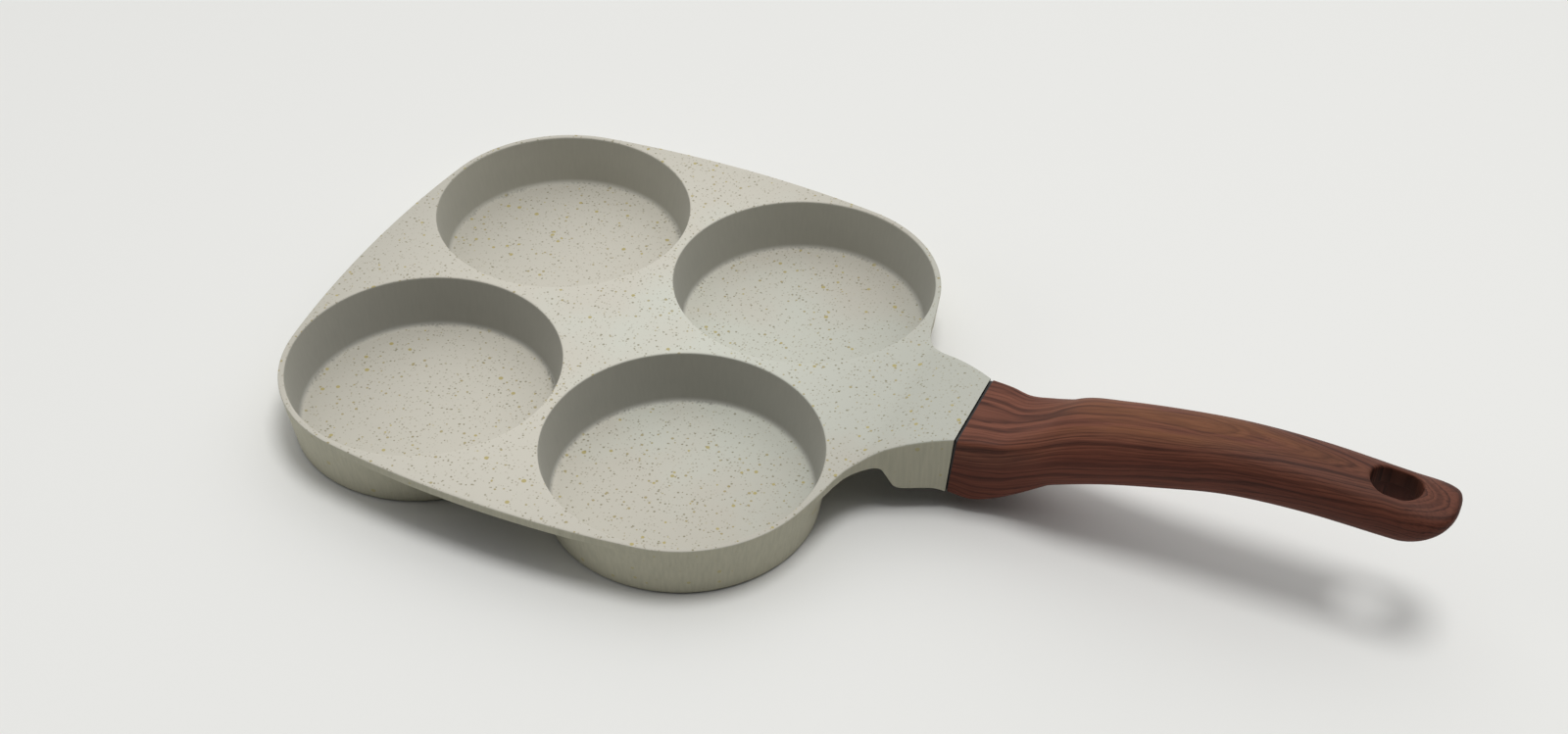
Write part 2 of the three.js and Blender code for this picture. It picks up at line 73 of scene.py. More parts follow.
# Table and light
# A plain pale table in a dim room with a pale skirting all round and a ceiling that is lit towards the
# back. A round lamp hangs 2 m over the end of the handle, wide enough for soft shadows, and weak
# daylight comes from the front left.
TABLE_SIZE = 12.0
LAMP_PLACE = Vector((0.173, 0.08, 2.0))
LAMP_DIAMETER = 0.78
LAMP_POWER = 17.5
DAYLIGHT_FROM = Vector((-1.6, -0.8, 0.7))
DAYLIGHT_SPREAD = np.radians(30)
DAYLIGHT_POWER = 0.345
SKIRTING_LIGHT = 0.2
SKIRTING_TOP, SKIRTING_FADE = 0.1, 0.22  # sines of the elevation
WALL_LIGHT = 0.03
CEILING_LIGHT = 1.0
CEILING_EDGE, CEILING_FULL = 0.2, 0.9
CEILING_TILT = np.radians((40, 8, 0))


def linear(code):
    """An sRGB hex code as linear red, green, blue and alpha."""
    shares = np.array([int(code[k : k + 2], 16) for k in (1, 3, 5)]) / 255
    curve = np.where(shares <= 0.04045, shares / 12.92, ((shares + 0.055) / 1.055) ** 2.4)
    return (*curve, 1.0)


def feed(socket, value):
    """Gives a socket a value, or a link to another socket."""
    if isinstance(value, bpy.types.NodeSocket):
        socket.id_data.links.new(value, socket)
    else:
        socket.default_value = value


def add_node(tree, kind, *values, give="", **settings):
    """Adds a node, sets its properties, and feeds its open inputs in their order. Returns one of its
    open outputs: the one that give names, or else the first."""
    node = tree.nodes.new("ShaderNode" + kind)
    for name, value in settings.items():
        setattr(node, name, value)
    for socket, value in zip([socket for socket in node.inputs if socket.enabled], values):
        feed(socket, value)
    return next(socket for socket in node.outputs if socket.enabled and give in ("", socket.name))


def fill(node, values):
    """Feeds inputs of a node by their names."""
    for name, value in values.items():
        feed(node.inputs[name], value)


def new_material(name):
    """A material with a principled shader: the material, add_node for its tree, and that shader."""
    material = bpy.data.materials.new(name)
    material.use_nodes = True
    tree = material.node_tree
    return material, partial(add_node, tree), tree.nodes["Principled BSDF"]


# Bleached cotton cloth: matt and nearly white, with no gloss.
cloth, add, shader = new_material("bleached_cotton")
fill(shader, {"Base Color": linear("#e9e9e6"), "Roughness": 0.9, "Specular IOR Level": 0.1})

reach = TABLE_SIZE / 2
table_mesh = bpy.data.meshes.new("table")
table_corners = [(-reach, -reach, 0), (reach, -reach, 0), (reach, reach, 0), (-reach, reach, 0)]
table_mesh.from_pydata(table_corners, [], [(0, 1, 2, 3)])
table_mesh.materials.append(cloth)
table = bpy.data.objects.new("table", table_mesh)
scene.collection.objects.link(table)

lamp = bpy.data.lights.new("lamp", "AREA")
lamp.shape = "DISK"
lamp.size = LAMP_DIAMETER
daylight = bpy.data.lights.new("daylight", "SUN")
daylight.angle = DAYLIGHT_SPREAD
for light, place, power in ((lamp, LAMP_PLACE, LAMP_POWER), (daylight, DAYLIGHT_FROM, DAYLIGHT_POWER)):
    light.energy = power
    holder = bpy.data.objects.new(light.name, light)
    holder.location = place
    holder.rotation_mode = "QUATERNION"
    holder.rotation_quaternion = (-place).to_track_quat("-Z", "Y")
    scene.collection.objects.link(holder)

room = bpy.data.worlds.new("room")
room.use_nodes = True
scene.world = room
add = partial(add_node, room.node_tree)
direction = add("TexCoord", give="Generated")
height = add("SeparateXYZ", direction, give="Z")
tilted = add("Mapping", direction, (0, 0, 0), CEILING_TILT)
overhead = add("SeparateXYZ", tilted, give="Z")
skirting = add("MapRange", height, SKIRTING_TOP, SKIRTING_FADE, SKIRTING_LIGHT, WALL_LIGHT)
ceiling = add("MapRange", overhead, CEILING_EDGE, CEILING_FULL, 0.0, CEILING_LIGHT)
brightness = add("Math", skirting, ceiling, operation="ADD")
fill(room.node_tree.nodes["Background"], {"Color": linear("#ffffff"), "Strength": brightness})

# Body
# One die-casting in aluminium: four drafted cups, the web that joins them, and the neck that flares
# out of the web into a boss and a tang for the handle. It is blasted and sprayed with a stone-effect
# non-stick coat. Sizes are in millimetres from the middle of the cups, with z = 0 on the rim plane.
CUP_RIM_RADIUS = 45.0
CUP_DEPTH = 18.6
CUP_DRAFT = np.radians(8.5)
CUP_WALL = 2.0
CUP_FLOOR = 2.6
CUP_FLOOR_FILLET = 2.0
CUP_BASE_ROUND = 1.2
CUP_SPACING = 3.8
RIM_ROUND = 0.55
RIM_RING = 1.0
WEB_THICKNESS = 3.2
WEB_DRAFT = np.radians(2)
SIDE_BULGE = 3.3
NECK_SIDE_BULGE = 5.8
EDGE_ROUND = 0.45
EDGE_FOOT_ROUND = 0.25
LEDGE_FADE = 1.2  # width of ledge from which the web's edge has a draft and a foot of its own
NECK_LENGTH = 31.1
NECK_TO_CUP = 2.6
NECK_RISE = 7.7
NECK_FOOT_RADIUS = 17.0
NECK_FLARE = np.radians(26.5)
NECK_FILLET = 22.3
BOSS_WIDTH = 32.8
BOSS_DEPTH = 12.5
BOSS_FLOOR_LENGTH = 14.4
BOSS_FRONT_SLOPE = np.radians(65)
BOSS_ROOT_FILLET = 3.5
BOSS_FOOT_ROUND = 3.9
BOSS_LIP = 1.7
BOSS_LIP_RADIUS = 9.5
JOINT_LEAN = np.radians(3.5)
TANG_LENGTH = 25.0
TANG_WIDTH = 18.0
TANG_THICKNESS = 9.0
TANG_TOP_COVER = 3.7
TANG_SQUARENESS = 7.0
TANG_END_ROUND, TANG_END_CUT = 1.0, 0.3
DISC_SEAT_RADIUS = 33.2
DISC_SEAT_DEPTH = 0.9
SEAT_EDGE_ROUND = 0.2

# Steps of the grids: counts, lengths in mm, or shares of the way across
LINE_STEPS, CORNER_STEPS, SIDE_STEPS = 34, 34, 20
NECK_STEPS, SHOULDER_STEPS = 14, 8
WALL_STEP, NECK_STEP = 6.0, 1.5
EDGE_POINTS, LIP_POINTS, FADE_POINTS = 5, 8, 6
EDGE_ROWS = (0.06, 0.35, 0.65, 0.94)
TOP_ROWS = (0, 0.15, 0.5, 0.8, 0.92, 1)
UNDER_ROWS = (0, 0.1, 0.5, 1)
JOINT_ROWS = (0, 0.06, 0.5, 1)

# Tolerances, and the angle between faces from which an edge is drawn sharp
MERGE_DISTANCE = 2e-6  # metres
TINY, NEARLY_ZERO = 1e-6, 1e-9
SHARP_ANGLE = np.radians(40)

HALF_PITCH = CUP_RIM_RADIUS + CUP_SPACING / 2
BASE_Z = -CUP_DEPTH - CUP_FLOOR
CORNER_RADIUS = CUP_RIM_RADIUS + CUP_WALL
SIDE_REACH = HALF_PITCH + CORNER_RADIUS + SIDE_BULGE
RAMP_X = HALF_PITCH + CUP_RIM_RADIUS + NECK_TO_CUP
JOINT_X = RAMP_X + NECK_LENGTH
BOSS_FOOT_Z = -BOSS_DEPTH - BOSS_LIP
JOINT_FOOT_X = JOINT_X - (NECK_RISE - BOSS_FOOT_Z) * np.tan(JOINT_LEAN)
CUP_CENTRE = np.array((HALF_PITCH, HALF_PITCH))
TANG_Z = NECK_RISE - TANG_TOP_COVER - TANG_THICKNESS / 2

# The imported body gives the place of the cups' middle in the shared frame, in metres.
body_low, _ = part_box("pan_casting")
PAN_ORIGIN = np.array((body_low.x + SIDE_REACH / 1000, 0, body_low.z - BASE_Z / 1000))


def unit(vector):
    """A vector divided by its own length."""
    return vector / np.linalg.norm(vector)


def rounded(corners, radii, steps=6, support=0.35):
    """A path through corners in a plane. Each inner corner with a radius becomes an arc that touches
    both legs, turned from one leg's normal to the other's, with a point on each leg close to it."""
    corners = np.asarray(corners, float)
    points = [corners[0]]
    for before, corner, after, radius in zip(corners, corners[1:], corners[2:], radii):
        if radius == 0:
            points.append(corner)
            continue
        back, ahead = unit(before - corner), unit(after - corner)
        half = np.arccos(back @ ahead) / 2
        leg = radius / np.tan(half)
        centre = corner + unit(back + ahead) * radius / np.sin(half)
        start, end = corner + back * leg - centre, corner + ahead * leg - centre
        sweep = np.pi - 2 * half
        turn = np.linspace(0, 1, steps + 1)[:, None] * sweep
        arc = (start * np.sin(sweep - turn) + end * np.sin(turn)) / np.sin(sweep)
        points += [corner + back * (leg + support), *(centre + arc), corner + ahead * (leg + support)]
    return np.array([*points, corners[-1]])


def stepped(stops, counts):
    """The same stops with each stretch between two of them cut into its own count of equal steps."""
    stretches = zip(stops, stops[1:], counts)
    return np.concatenate([np.linspace(a, b, n, endpoint=False) for a, b, n in stretches] + [stops[-1:]])


def split_legs(path, longest):
    """The same path with every leg cut into equal pieces no longer than a given length."""
    lengths = np.linalg.norm(np.diff(path, axis=0), axis=1)
    return stepped(path, np.maximum(1, np.ceil(lengths / longest)).astype(int))


def joined(name, grids, materials, slots=None):
    """One closed mesh from grids of points in millimetres: quads between neighbouring points, with the
    grids' shared edges merged and every face turned outwards. slots gives each grid's material."""
    points, faces, face_slots = [], [], []
    for grid, slot in zip(grids, slots or [0] * len(grids)):
        rows, columns = grid.shape[:2]
        corners = np.arange(rows * columns).reshape(rows, columns) + sum(map(len, points))
        loops = (corners[:-1, :-1], corners[:-1, 1:], corners[1:, 1:], corners[1:, :-1])
        faces.append(np.stack(loops, -1).reshape(-1, 4))
        face_slots.append(np.full(len(faces[-1]), slot))
        points.append(grid.reshape(-1, 3) / 1000 + PAN_ORIGIN)
    mesh = bpy.data.meshes.new(name)
    mesh.from_pydata(np.concatenate(points), [], np.concatenate(faces).tolist())
    mesh.polygons.foreach_set("material_index", np.concatenate(face_slots))
    merged = bmesh.new()
    merged.from_mesh(mesh)
    bmesh.ops.remove_doubles(merged, verts=merged.verts, dist=MERGE_DISTANCE)
    bmesh.ops.recalc_face_normals(merged, faces=merged.faces)
    merged.to_mesh(mesh)
    merged.free()
    mesh.shade_smooth()
    mesh.set_sharp_from_angle(angle=SHARP_ANGLE)
    for material in materials:
        mesh.materials.append(material)
    made = bpy.data.objects.new(name, mesh)
    scene.collection.objects.link(made)
    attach(made, "root")
    return made


def between(first, last, shares):
    """A grid of straight rows from each point of one line to the like point of another."""
    return first + (last - first) * np.asarray(shares)[:, None, None]


def lifted(plan, z):
    """Points of a plan with a height each."""
    return np.concatenate([plan, np.broadcast_to(z, plan.shape[:-1])[..., None]], -1)


def revolved(path, angles, centre=(0, 0)):
    """A path of radius and height carried round an upright axis."""
    radius, z = path[:, :1], path[:, 1:]
    plan = np.stack((radius * np.cos(angles), radius * np.sin(angles)), -1) + centre
    return lifted(plan, z)


def neck_half_width(x):
    """Half the neck's width: a straight flare, then an arc that hollows out towards the cup's corner."""
    centre_x, centre_y = NECK_FILLET_CENTRE
    arc = centre_y - np.sqrt(np.maximum(0, NECK_FILLET**2 - (x - centre_x) ** 2))
    flare = BOSS_WIDTH / 2 + (JOINT_X - x) * np.tan(NECK_FLARE)
    return np.where(x < centre_x - NECK_FILLET * np.sin(NECK_FLARE), arc, flare)


def neck_top(x):
    """Height of the neck's top: a hollow arc out of the web, then a crowned arc that ends level."""
    slope = 2 * np.arctan2(NECK_RISE, NECK_LENGTH)
    crown = NECK_RISE / (1 - np.cos(slope)) - NECK_FOOT_RADIUS
    run = np.maximum(0, x - RAMP_X)
    to_joint = JOINT_X - np.minimum(x, JOINT_X)
    hollow_z = NECK_FOOT_RADIUS - np.sqrt(np.maximum(0, NECK_FOOT_RADIUS**2 - run**2))
    crown_z = NECK_RISE - crown + np.sqrt(np.maximum(0, crown**2 - to_joint**2))
    return np.where(run < NECK_FOOT_RADIUS * np.sin(slope), hollow_z, crown_z)


def side_arc(bulge):
    """The arc of a side, drawn on the right: its centre on the x axis, its radius, and the angle at
    which it runs into the corner arc round the cup."""
    radius = CORNER_RADIUS + bulge / 2 + HALF_PITCH**2 / (2 * bulge)
    centre = np.array((HALF_PITCH + CORNER_RADIUS + bulge - radius, 0))
    return centre, radius, np.arctan2(HALF_PITCH, HALF_PITCH - centre[0])


# The neck's fillet lies one radius off the flare and one radius off the arc of the side.
neck_side_centre, neck_side_radius, _ = side_arc(NECK_SIDE_BULGE)
flare_line = np.array((-np.cos(NECK_FLARE), np.sin(NECK_FLARE)))
flare_normal = np.array((np.sin(NECK_FLARE), np.cos(NECK_FLARE)))
to_line = np.array((JOINT_X, BOSS_WIDTH / 2)) + flare_normal * NECK_FILLET - neck_side_centre
run_back = to_line @ flare_line
run_on = -run_back - np.sqrt(run_back**2 - to_line @ to_line + (neck_side_radius + NECK_FILLET) ** 2)
NECK_FILLET_CENTRE = neck_side_centre + to_line + flare_line * run_on
NECK_START = neck_side_centre + unit(NECK_FILLET_CENTRE - neck_side_centre) * neck_side_radius


def to_circle(directions, centre, radius):
    """How far each ray from the cup's centre runs to a circle round it."""
    offset = CUP_CENTRE - centre
    along = directions @ offset
    return -along + np.sqrt(along**2 - offset @ offset + radius**2)


def cup_cell(with_neck):
    """The stretch of web round the cup in the first quadrant. Its rays run from the cup's axis to the
    middle lines between the cups, the arcs of the sides, the corner arc, or the start of the neck.
    Returns the rays' angles, the points that they reach, and which of these lie on the free outline."""
    right_centre, right_radius, right_meet = side_arc(NECK_SIDE_BULGE if with_neck else SIDE_BULGE)
    top_centre, top_radius, top_meet = side_arc(SIDE_BULGE)
    right_end = np.array((NECK_START[0] if with_neck else SIDE_REACH, 0)) - CUP_CENTRE
    top_end = np.array((0, SIDE_REACH)) - CUP_CENTRE
    neck_corner = NECK_START - CUP_CENTRE
    right_stops = [np.arctan2(*right_end[::-1])] + [np.arctan2(*neck_corner[::-1])] * with_neck
    top_stop = np.arctan2(*top_end[::-1])
    stops = [-0.75 * np.pi, *right_stops, right_meet, np.pi / 2 - top_meet, top_stop, 1.25 * np.pi]
    right_counts = [NECK_STEPS, SHOULDER_STEPS] if with_neck else [SIDE_STEPS]
    angles = stepped(stops, [LINE_STEPS, *right_counts, CORNER_STEPS, SIDE_STEPS, LINE_STEPS])
    rays = np.stack((np.cos(angles), np.sin(angles)), -1)
    with np.errstate(divide="ignore"):
        lines = np.where(rays < -NEARLY_ZERO, -HALF_PITCH / rays, np.inf).min(1)
        neck = np.where(rays[:, 0] > 0, right_end[0] / rays[:, 0], np.inf)
    right = to_circle(rays, right_centre, right_radius)
    top = to_circle(rays, top_centre[::-1], top_radius)
    outline = np.select([angles < right_meet, angles > np.pi / 2 - top_meet], [right, top], CORNER_RADIUS)
    inner = np.minimum(lines, neck if with_neck else np.inf)
    distance = np.minimum(inner, outline)
    return angles, CUP_CENTRE + rays * distance[:, None], outline <= inner + TINY


def edge_strip(top_plan, foot_plan, outward, top_z, foot_z, foot_round):
    """The edge of the web or neck: rows from its top face round to its underside. A quarter circle
    turns over the top, straight rows run down, and a quarter circle of its own radius turns under.
    Every point moves in along the outline's normal by what the two quarter circles take away."""
    turn = np.linspace(0, np.pi / 2, EDGE_POINTS)[:, None]
    upper_z, upper_in = top_z - EDGE_ROUND * (1 - np.cos(turn)), EDGE_ROUND * (1 - np.sin(turn))
    lower_z, lower_in = foot_z + foot_round * (1 - np.sin(turn)), foot_round * (1 - np.cos(turn))
    side_z = upper_z[-1] + (lower_z[0] - upper_z[-1]) * np.array(EDGE_ROWS)[:, None]
    z = np.concatenate((upper_z, side_z, lower_z))
    inward = np.concatenate((np.broadcast_to(upper_in, upper_z.shape), 0 * side_z, lower_in))
    fall = (top_z - z) / (top_z - foot_z)
    plan = top_plan + (foot_plan - top_plan) * fall[..., None] - outward * inward[..., None]
    return lifted(plan, z)


# Sections of a cup, from its floor up over the rim and from the web's underside down to the disc seat
floor_radius = CUP_RIM_RADIUS - CUP_DEPTH * np.tan(CUP_DRAFT)
floor_corners = [(0, -CUP_DEPTH), (floor_radius, -CUP_DEPTH)]
rim_corners = [(CUP_RIM_RADIUS, 0), (CUP_RIM_RADIUS + RIM_RING, 0)]
inside_path = split_legs(rounded(floor_corners + rim_corners, [CUP_FLOOR_FILLET, RIM_ROUND]), WALL_STEP)
wall_under_web = CORNER_RADIUS - WEB_THICKNESS * np.tan(CUP_DRAFT)
base_radius = CORNER_RADIUS + BASE_Z * np.tan(CUP_DRAFT)
seat_z = BASE_Z + DISC_SEAT_DEPTH
base_corners = [(wall_under_web, -WEB_THICKNESS), (base_radius, BASE_Z)]
seat_corners = [(DISC_SEAT_RADIUS, BASE_Z), (DISC_SEAT_RADIUS, seat_z), (0, seat_z)]
base_path = rounded(base_corners + seat_corners, [CUP_BASE_ROUND, SEAT_EDGE_ROUND, 0])
outside_path = split_legs(base_path, WALL_STEP)

# The neck's underside from the web to the joint, and the top and foot of its side at each step
neck_x = NECK_START[0]
lip_angle = np.arccos(1 - BOSS_LIP / BOSS_LIP_RADIUS)
lip_start = JOINT_FOOT_X - BOSS_LIP_RADIUS * np.sin(lip_angle)
boss_front_x = JOINT_FOOT_X - BOSS_FLOOR_LENGTH
boss_root_x = boss_front_x - (BOSS_DEPTH - WEB_THICKNESS) / np.tan(BOSS_FRONT_SLOPE)
root_corners = [(neck_x, -WEB_THICKNESS), (boss_root_x, -WEB_THICKNESS)]
boss_corners = [(boss_front_x, -BOSS_DEPTH), (lip_start, -BOSS_DEPTH)]
boss_path = rounded(root_corners + boss_corners, [BOSS_ROOT_FILLET, BOSS_FOOT_ROUND])
lip_turn = np.linspace(0, lip_angle, LIP_POINTS)[1:]
lip_path = np.stack((np.sin(lip_turn), np.cos(lip_turn) - 1), -1) * BOSS_LIP_RADIUS
lip_path += (lip_start, -BOSS_DEPTH)
foot_x, foot_z = split_legs(np.concatenate((boss_path, lip_path)), NECK_STEP).T
top_x = neck_x + (foot_x - neck_x) * (JOINT_X - neck_x) / (JOINT_FOOT_X - neck_x)
neck_side_top = np.stack((top_x, neck_half_width(top_x)), -1)
neck_side_foot = np.stack((foot_x, neck_half_width(foot_x)), -1)

# The whole outline of the back half, from the joint along the neck and round the two back cups
right_cell, left_cell = cup_cell(True), cup_cell(False)
(_, right_edge, right_free), (_, left_edge, left_free) = right_cell, left_cell
right_outline, left_outline = right_edge[right_free], left_edge[left_free][::-1] * (-1, 1)
neck_count, right_count = len(top_x), len(right_outline)
outline = np.concatenate((neck_side_top[::-1], right_outline[1:], left_outline[1:]))
ledge = np.linalg.norm(np.abs(outline) - CUP_CENTRE, axis=1) - CORNER_RADIUS
stands_free = np.clip(ledge / LEDGE_FADE, 0, 1)
stands_free[:neck_count] = 1
web_draft = np.tan(CUP_DRAFT) + (np.tan(WEB_DRAFT) - np.tan(CUP_DRAFT)) * stands_free
tangent = np.gradient(outline, axis=0)
outward = np.stack((tangent[:, 1], -tangent[:, 0]), -1) / np.linalg.norm(tangent, axis=1)[:, None]
outward[0], outward[-1] = (0, 1), (-1, 0)
fade = np.clip(np.arange(len(outline)) - neck_count + FADE_POINTS, 0, FADE_POINTS)[:, None] / FADE_POINTS
foot_plan = outline - outward * (WEB_THICKNESS * web_draft)[:, None] * fade
foot_plan[:neck_count] += (neck_side_foot - neck_side_top)[::-1]
edge_top_z = neck_top(outline[:, 0])
edge_foot_z = np.concatenate((foot_z[::-1], np.full(len(outline) - neck_count, -WEB_THICKNESS)))
strip = edge_strip(outline, foot_plan, outward, edge_top_z, edge_foot_z, EDGE_FOOT_ROUND * stands_free)


def cell_grids(angles, edge, free, outline_columns, mirror):
    """The grids of one cup: inside, web top, web underside and outside. The web's grids run straight
    from the cup's circle to the cell's edge, which on the free outline is the edge strip's end."""
    top_end, foot_end = lifted(edge, 0.0), lifted(edge, -WEB_THICKNESS)
    edge_columns = strip[:, outline_columns] * (mirror[0], 1, 1)
    top_end[free], foot_end[free] = edge_columns[0], edge_columns[-1]
    inside = revolved(inside_path, angles, CUP_CENTRE)
    outside = revolved(outside_path, angles, CUP_CENTRE)
    beside_neck = mirror[0] > 0
    if beside_neck:
        across_neck = ~free & (edge[:, 0] > HALF_PITCH) & (edge[:, 1] > TINY)
        on_axis = ~free & ~across_neck & (edge[:, 0] >= neck_x - TINY)
        share = edge[across_neck, 1] / NECK_START[1]
        for end, corner in ((top_end, strip[0, neck_count - 1]), (foot_end, strip[-1, neck_count - 1])):
            end[across_neck] = corner * np.stack((0 * share + 1, share, 0 * share + 1), -1)
            end[on_axis] = corner * (1, 0, 1)
    top = between(inside[-1], top_end, TOP_ROWS)
    if beside_neck:
        top[1:-1, :, 2] = neck_top(top[1:-1, :, 0])
    under = between(foot_end, outside[0], UNDER_ROWS)
    return [grid * (*mirror, 1) for grid in (inside, top, under, outside)]


right_columns = np.arange(right_count) + neck_count - 1
left_columns = (np.arange(len(left_outline)) + neck_count + right_count - 2)[::-1]
body_grids = []
for side in (1, -1):
    body_grids.append(strip * (1, side, 1))
    body_grids += cell_grids(*right_cell, right_columns, (1, side))
    body_grids += cell_grids(*left_cell, left_columns, (-1, side))

# The neck's top and underside run straight across from one edge strip to the other.
half_across = right_edge[right_edge[:, 0] >= neck_x - TINY, 1] / NECK_START[1]
across = np.concatenate((-half_across[:0:-1], half_across))
spread = np.stack((np.ones_like(across), across, np.ones_like(across)), -1)[:, None]
neck_top_grid = strip[0, neck_count - 1 :: -1] * spread
neck_under_grid = strip[-1, neck_count - 1 :: -1] * spread

# The joint face runs in from the neck's end to the tang, a bar with rounded edges.
joint_side = strip[:, 0]
far_side = joint_side[::-1] * (1, -1, 1)
under_end = neck_under_grid[::-1, -1]
joint_loop = np.concatenate((neck_top_grid[:, -1], joint_side[1:], under_end[1:], far_side[1:]))


def joint_x(z):
    """Where the joint face lies at a height: the lower, the nearer to the cups, by its lean."""
    return JOINT_X - (NECK_RISE - z) * np.tan(JOINT_LEAN)


def squarish_ring(angles, half_width, half_height):
    """A superellipse about the tang's axis, met by rays at the given angles: across and height."""
    wide, high = np.abs(np.cos(angles) / half_width), np.abs(np.sin(angles) / half_height)
    reach = (wide**TANG_SQUARENESS + high**TANG_SQUARENESS) ** (-1 / TANG_SQUARENESS)
    return reach * np.cos(angles), TANG_Z + reach * np.sin(angles)


def bar_grid(angles, margin, root_x, end_x):
    """The tang, or its socket: the ring carried along x from where it roots, then closed at its end
    over a rounded edge."""
    half_width, half_height = TANG_WIDTH / 2 + margin, TANG_THICKNESS / 2 + margin
    y, z = squarish_ring(angles, half_width, half_height)
    rows = [np.stack((root_x(z), y, z), -1)]
    edge = ((TANG_END_ROUND, 0), (TANG_END_CUT, TANG_END_CUT), (0, TANG_END_ROUND), (0, half_height))
    for back, inset in edge:
        y, z = squarish_ring(angles, half_width - inset, half_height - inset + TINY)
        rows.append(np.stack((0 * y + end_x - back, y, z), -1))
    rows.append(rows[-1] * (1, 0, 0) + (0, 0, TANG_Z))
    return np.array(rows)


joint_angles = np.arctan2(joint_loop[:, 2] - TANG_Z, joint_loop[:, 1])
tang_grid = bar_grid(joint_angles, 0, joint_x, JOINT_X + TANG_LENGTH)
joint_face = between(joint_loop, tang_grid[0], JOINT_ROWS)
body_grids += [neck_top_grid, neck_under_grid, joint_face, tang_grid]

# Stone-effect non-stick coat, sprayed over blasted aluminium: satin and warm pale grey, with specks of
# olive and ochre on what faces the spray gun, worn round the floors, and with faint upright streaks on
# the walls. Painted light and shade are mixed into its colour: a cooler painted shade round the root of
# the neck, painted shade away from a lit middle and on the cup floors, darker painted shade on steep
# walls, painted light on inner walls at the back and near the rims, and the darkest painted shade on
# the underside. Lengths without another unit are metres.
COAT_WARM = linear("#ccc8bb")
# Painted shade: a cooler tint round the root of the neck stands in for the cooler shade there.
COAT_COOL_SHADE = linear("#cdcec2")
COOL_SHADE_PLACE = (0.045, 0.015, 0)  # from the middle of the cups, and on from there to the handle
COOL_SHADE_FULL, COOL_SHADE_NONE = 0.028, 0.066  # distances from that place
CLOUD_SIZE, CLOUD_SHIFT = 25.0, 0.1  # in mm, and by how far the clouds move that patch's edge
# Painted light and shade: the coat darkens towards a near-black colour away from a lit middle, and a
# little on the cup floors.
LIT_MIDDLE, LIT_SQUEEZE = -0.008, 0.6  # along the pan, and the share that a distance across it counts
DIM_FROM, DIM_TO, DIM_SHARE = 0.03, 0.13, 0.26  # distances from the lit middle, and the share of painted shade at the far one
FLOOR_SHADE_SHARE = 0.035
PAINTED_SHADE_COLOUR = linear("#22211f")
# Painted shade: steep walls, inside and out, get darker colours than level faces.
INSIDE_WALL_SHADE = linear("#a5a49c")
# Painted light: inner walls are lighter towards the back left cup and near the rims.
LIT_WALL = linear("#b9b7ab")  # painted light inside the back left cup, and less in the cups beside it
LIT_WAY = (-0.5, 1, 0)
LIT_FROM, LIT_TO = 0.025, 0.13  # distances that way from the middle
RIM_LIGHT_BAND, RIM_LIGHT_SHARE = 0.011, 0.35  # its height, and how much painted light the wall gets at the rim
OUTSIDE_WALL_SHADE = linear("#b5b29e")
WALL_BLUR = 0.0002
# Painted shade: faces that look down get the darkest colour.
UNDERSIDE_SHADE = linear("#7f7d76")
UNDER_FULL, UNDER_NONE = -0.7, -0.25  # upright part of the normal
STEEP_BELOW, LEVEL_FROM = (0.75, 0.25), (0.97, 0.75)  # the same, on a cup's floor and over its fillet
STREAK_SIZE = np.array((0.9, 0.9, 14.0))  # mm
STREAK_NOISE, STREAK_TONE, STREAKS_INSIDE = (0.25, 0.75), (0.91, 1.06), 0.35
SPECKS = (  # spacing and radius in mm, share of places taken, colour, strength, share of it on outer walls
    (1.0, 0.42, 0.9, linear("#948b72"), 0.6, 0.0),
    (1.5, 0.5, 0.85, linear("#77704e"), 0.7, 0.0),
    (2.4, 0.65, 0.75, linear("#9a8c55"), 0.75, 0.2),
    (3.9, 0.9, 0.65, linear("#ab9c55"), 0.8, 0.6),
)
SPECK_BLUR = 0.15  # mm
WORN_COLOUR = linear("#5f5d55")
WORN_TO_WALL, WORN_UP_FILLET = 0.3, 0.25  # mm left beside the wall, share of the fillet's height
WORN_FADE, WORN_SHARE = 0.0003, 0.6
CRUMB_SIZE, RUB_SIZE, RUB_LIMITS = 1.0, 22.0, (1.04, 1.25)  # mm, and limits of the sum of both noises
GRIT_SIZE, COAT_GLOSS = 0.8, (0.5, 0.68)  # mm, and roughness
RELIEF = (0.12, 0.0002, 0.1)  # strength, depth, and the filter's width in pixels
FINE_DETAIL = 3.0

stone_coat, add, shader = new_material("stone_effect_coat")
place = add("TexCoord", give="Object")
facing = add("SeparateXYZ", add("NewGeometry", give="Normal"), give="Z")
from_middle = add("VectorMath", place, PAN_ORIGIN, operation="SUBTRACT")
height = add("SeparateXYZ", from_middle, give="Z")

# Distances in plan: from the axis of the cup, from the place of the painted cool shade, and from the lit
# middle of the painted light
cup_axis, flat = (HALF_PITCH / 1000, HALF_PITCH / 1000, 0), (1, 1, 0)
distances = []
for steps in (
    (("ABSOLUTE",), ("SUBTRACT", cup_axis), ("MULTIPLY", flat), ("LENGTH",)),
    (("SUBTRACT", COOL_SHADE_PLACE), ("MINIMUM", (0, 1, 1)), ("MULTIPLY", flat), ("LENGTH",)),
    (("MULTIPLY_ADD", (1, LIT_SQUEEZE, 0), (-LIT_MIDDLE, 0, 0)), ("LENGTH",)),
):
    distance = from_middle
    for operation, *operands in steps:
        distance = add("VectorMath", distance, *operands, operation=operation)
    distances.append(distance)
from_axis, from_cool, from_lit_middle = distances

# Which way and which side of a cup's wall the surface faces
over_fillet = (height, -CUP_DEPTH / 1000, (CUP_FLOOR_FILLET - CUP_DEPTH) / 1000)
steep_below = add("MapRange", *over_fillet, *STEEP_BELOW)
level_from = add("MapRange", *over_fillet, *LEVEL_FROM)
level = add("MapRange", facing, steep_below, level_from)
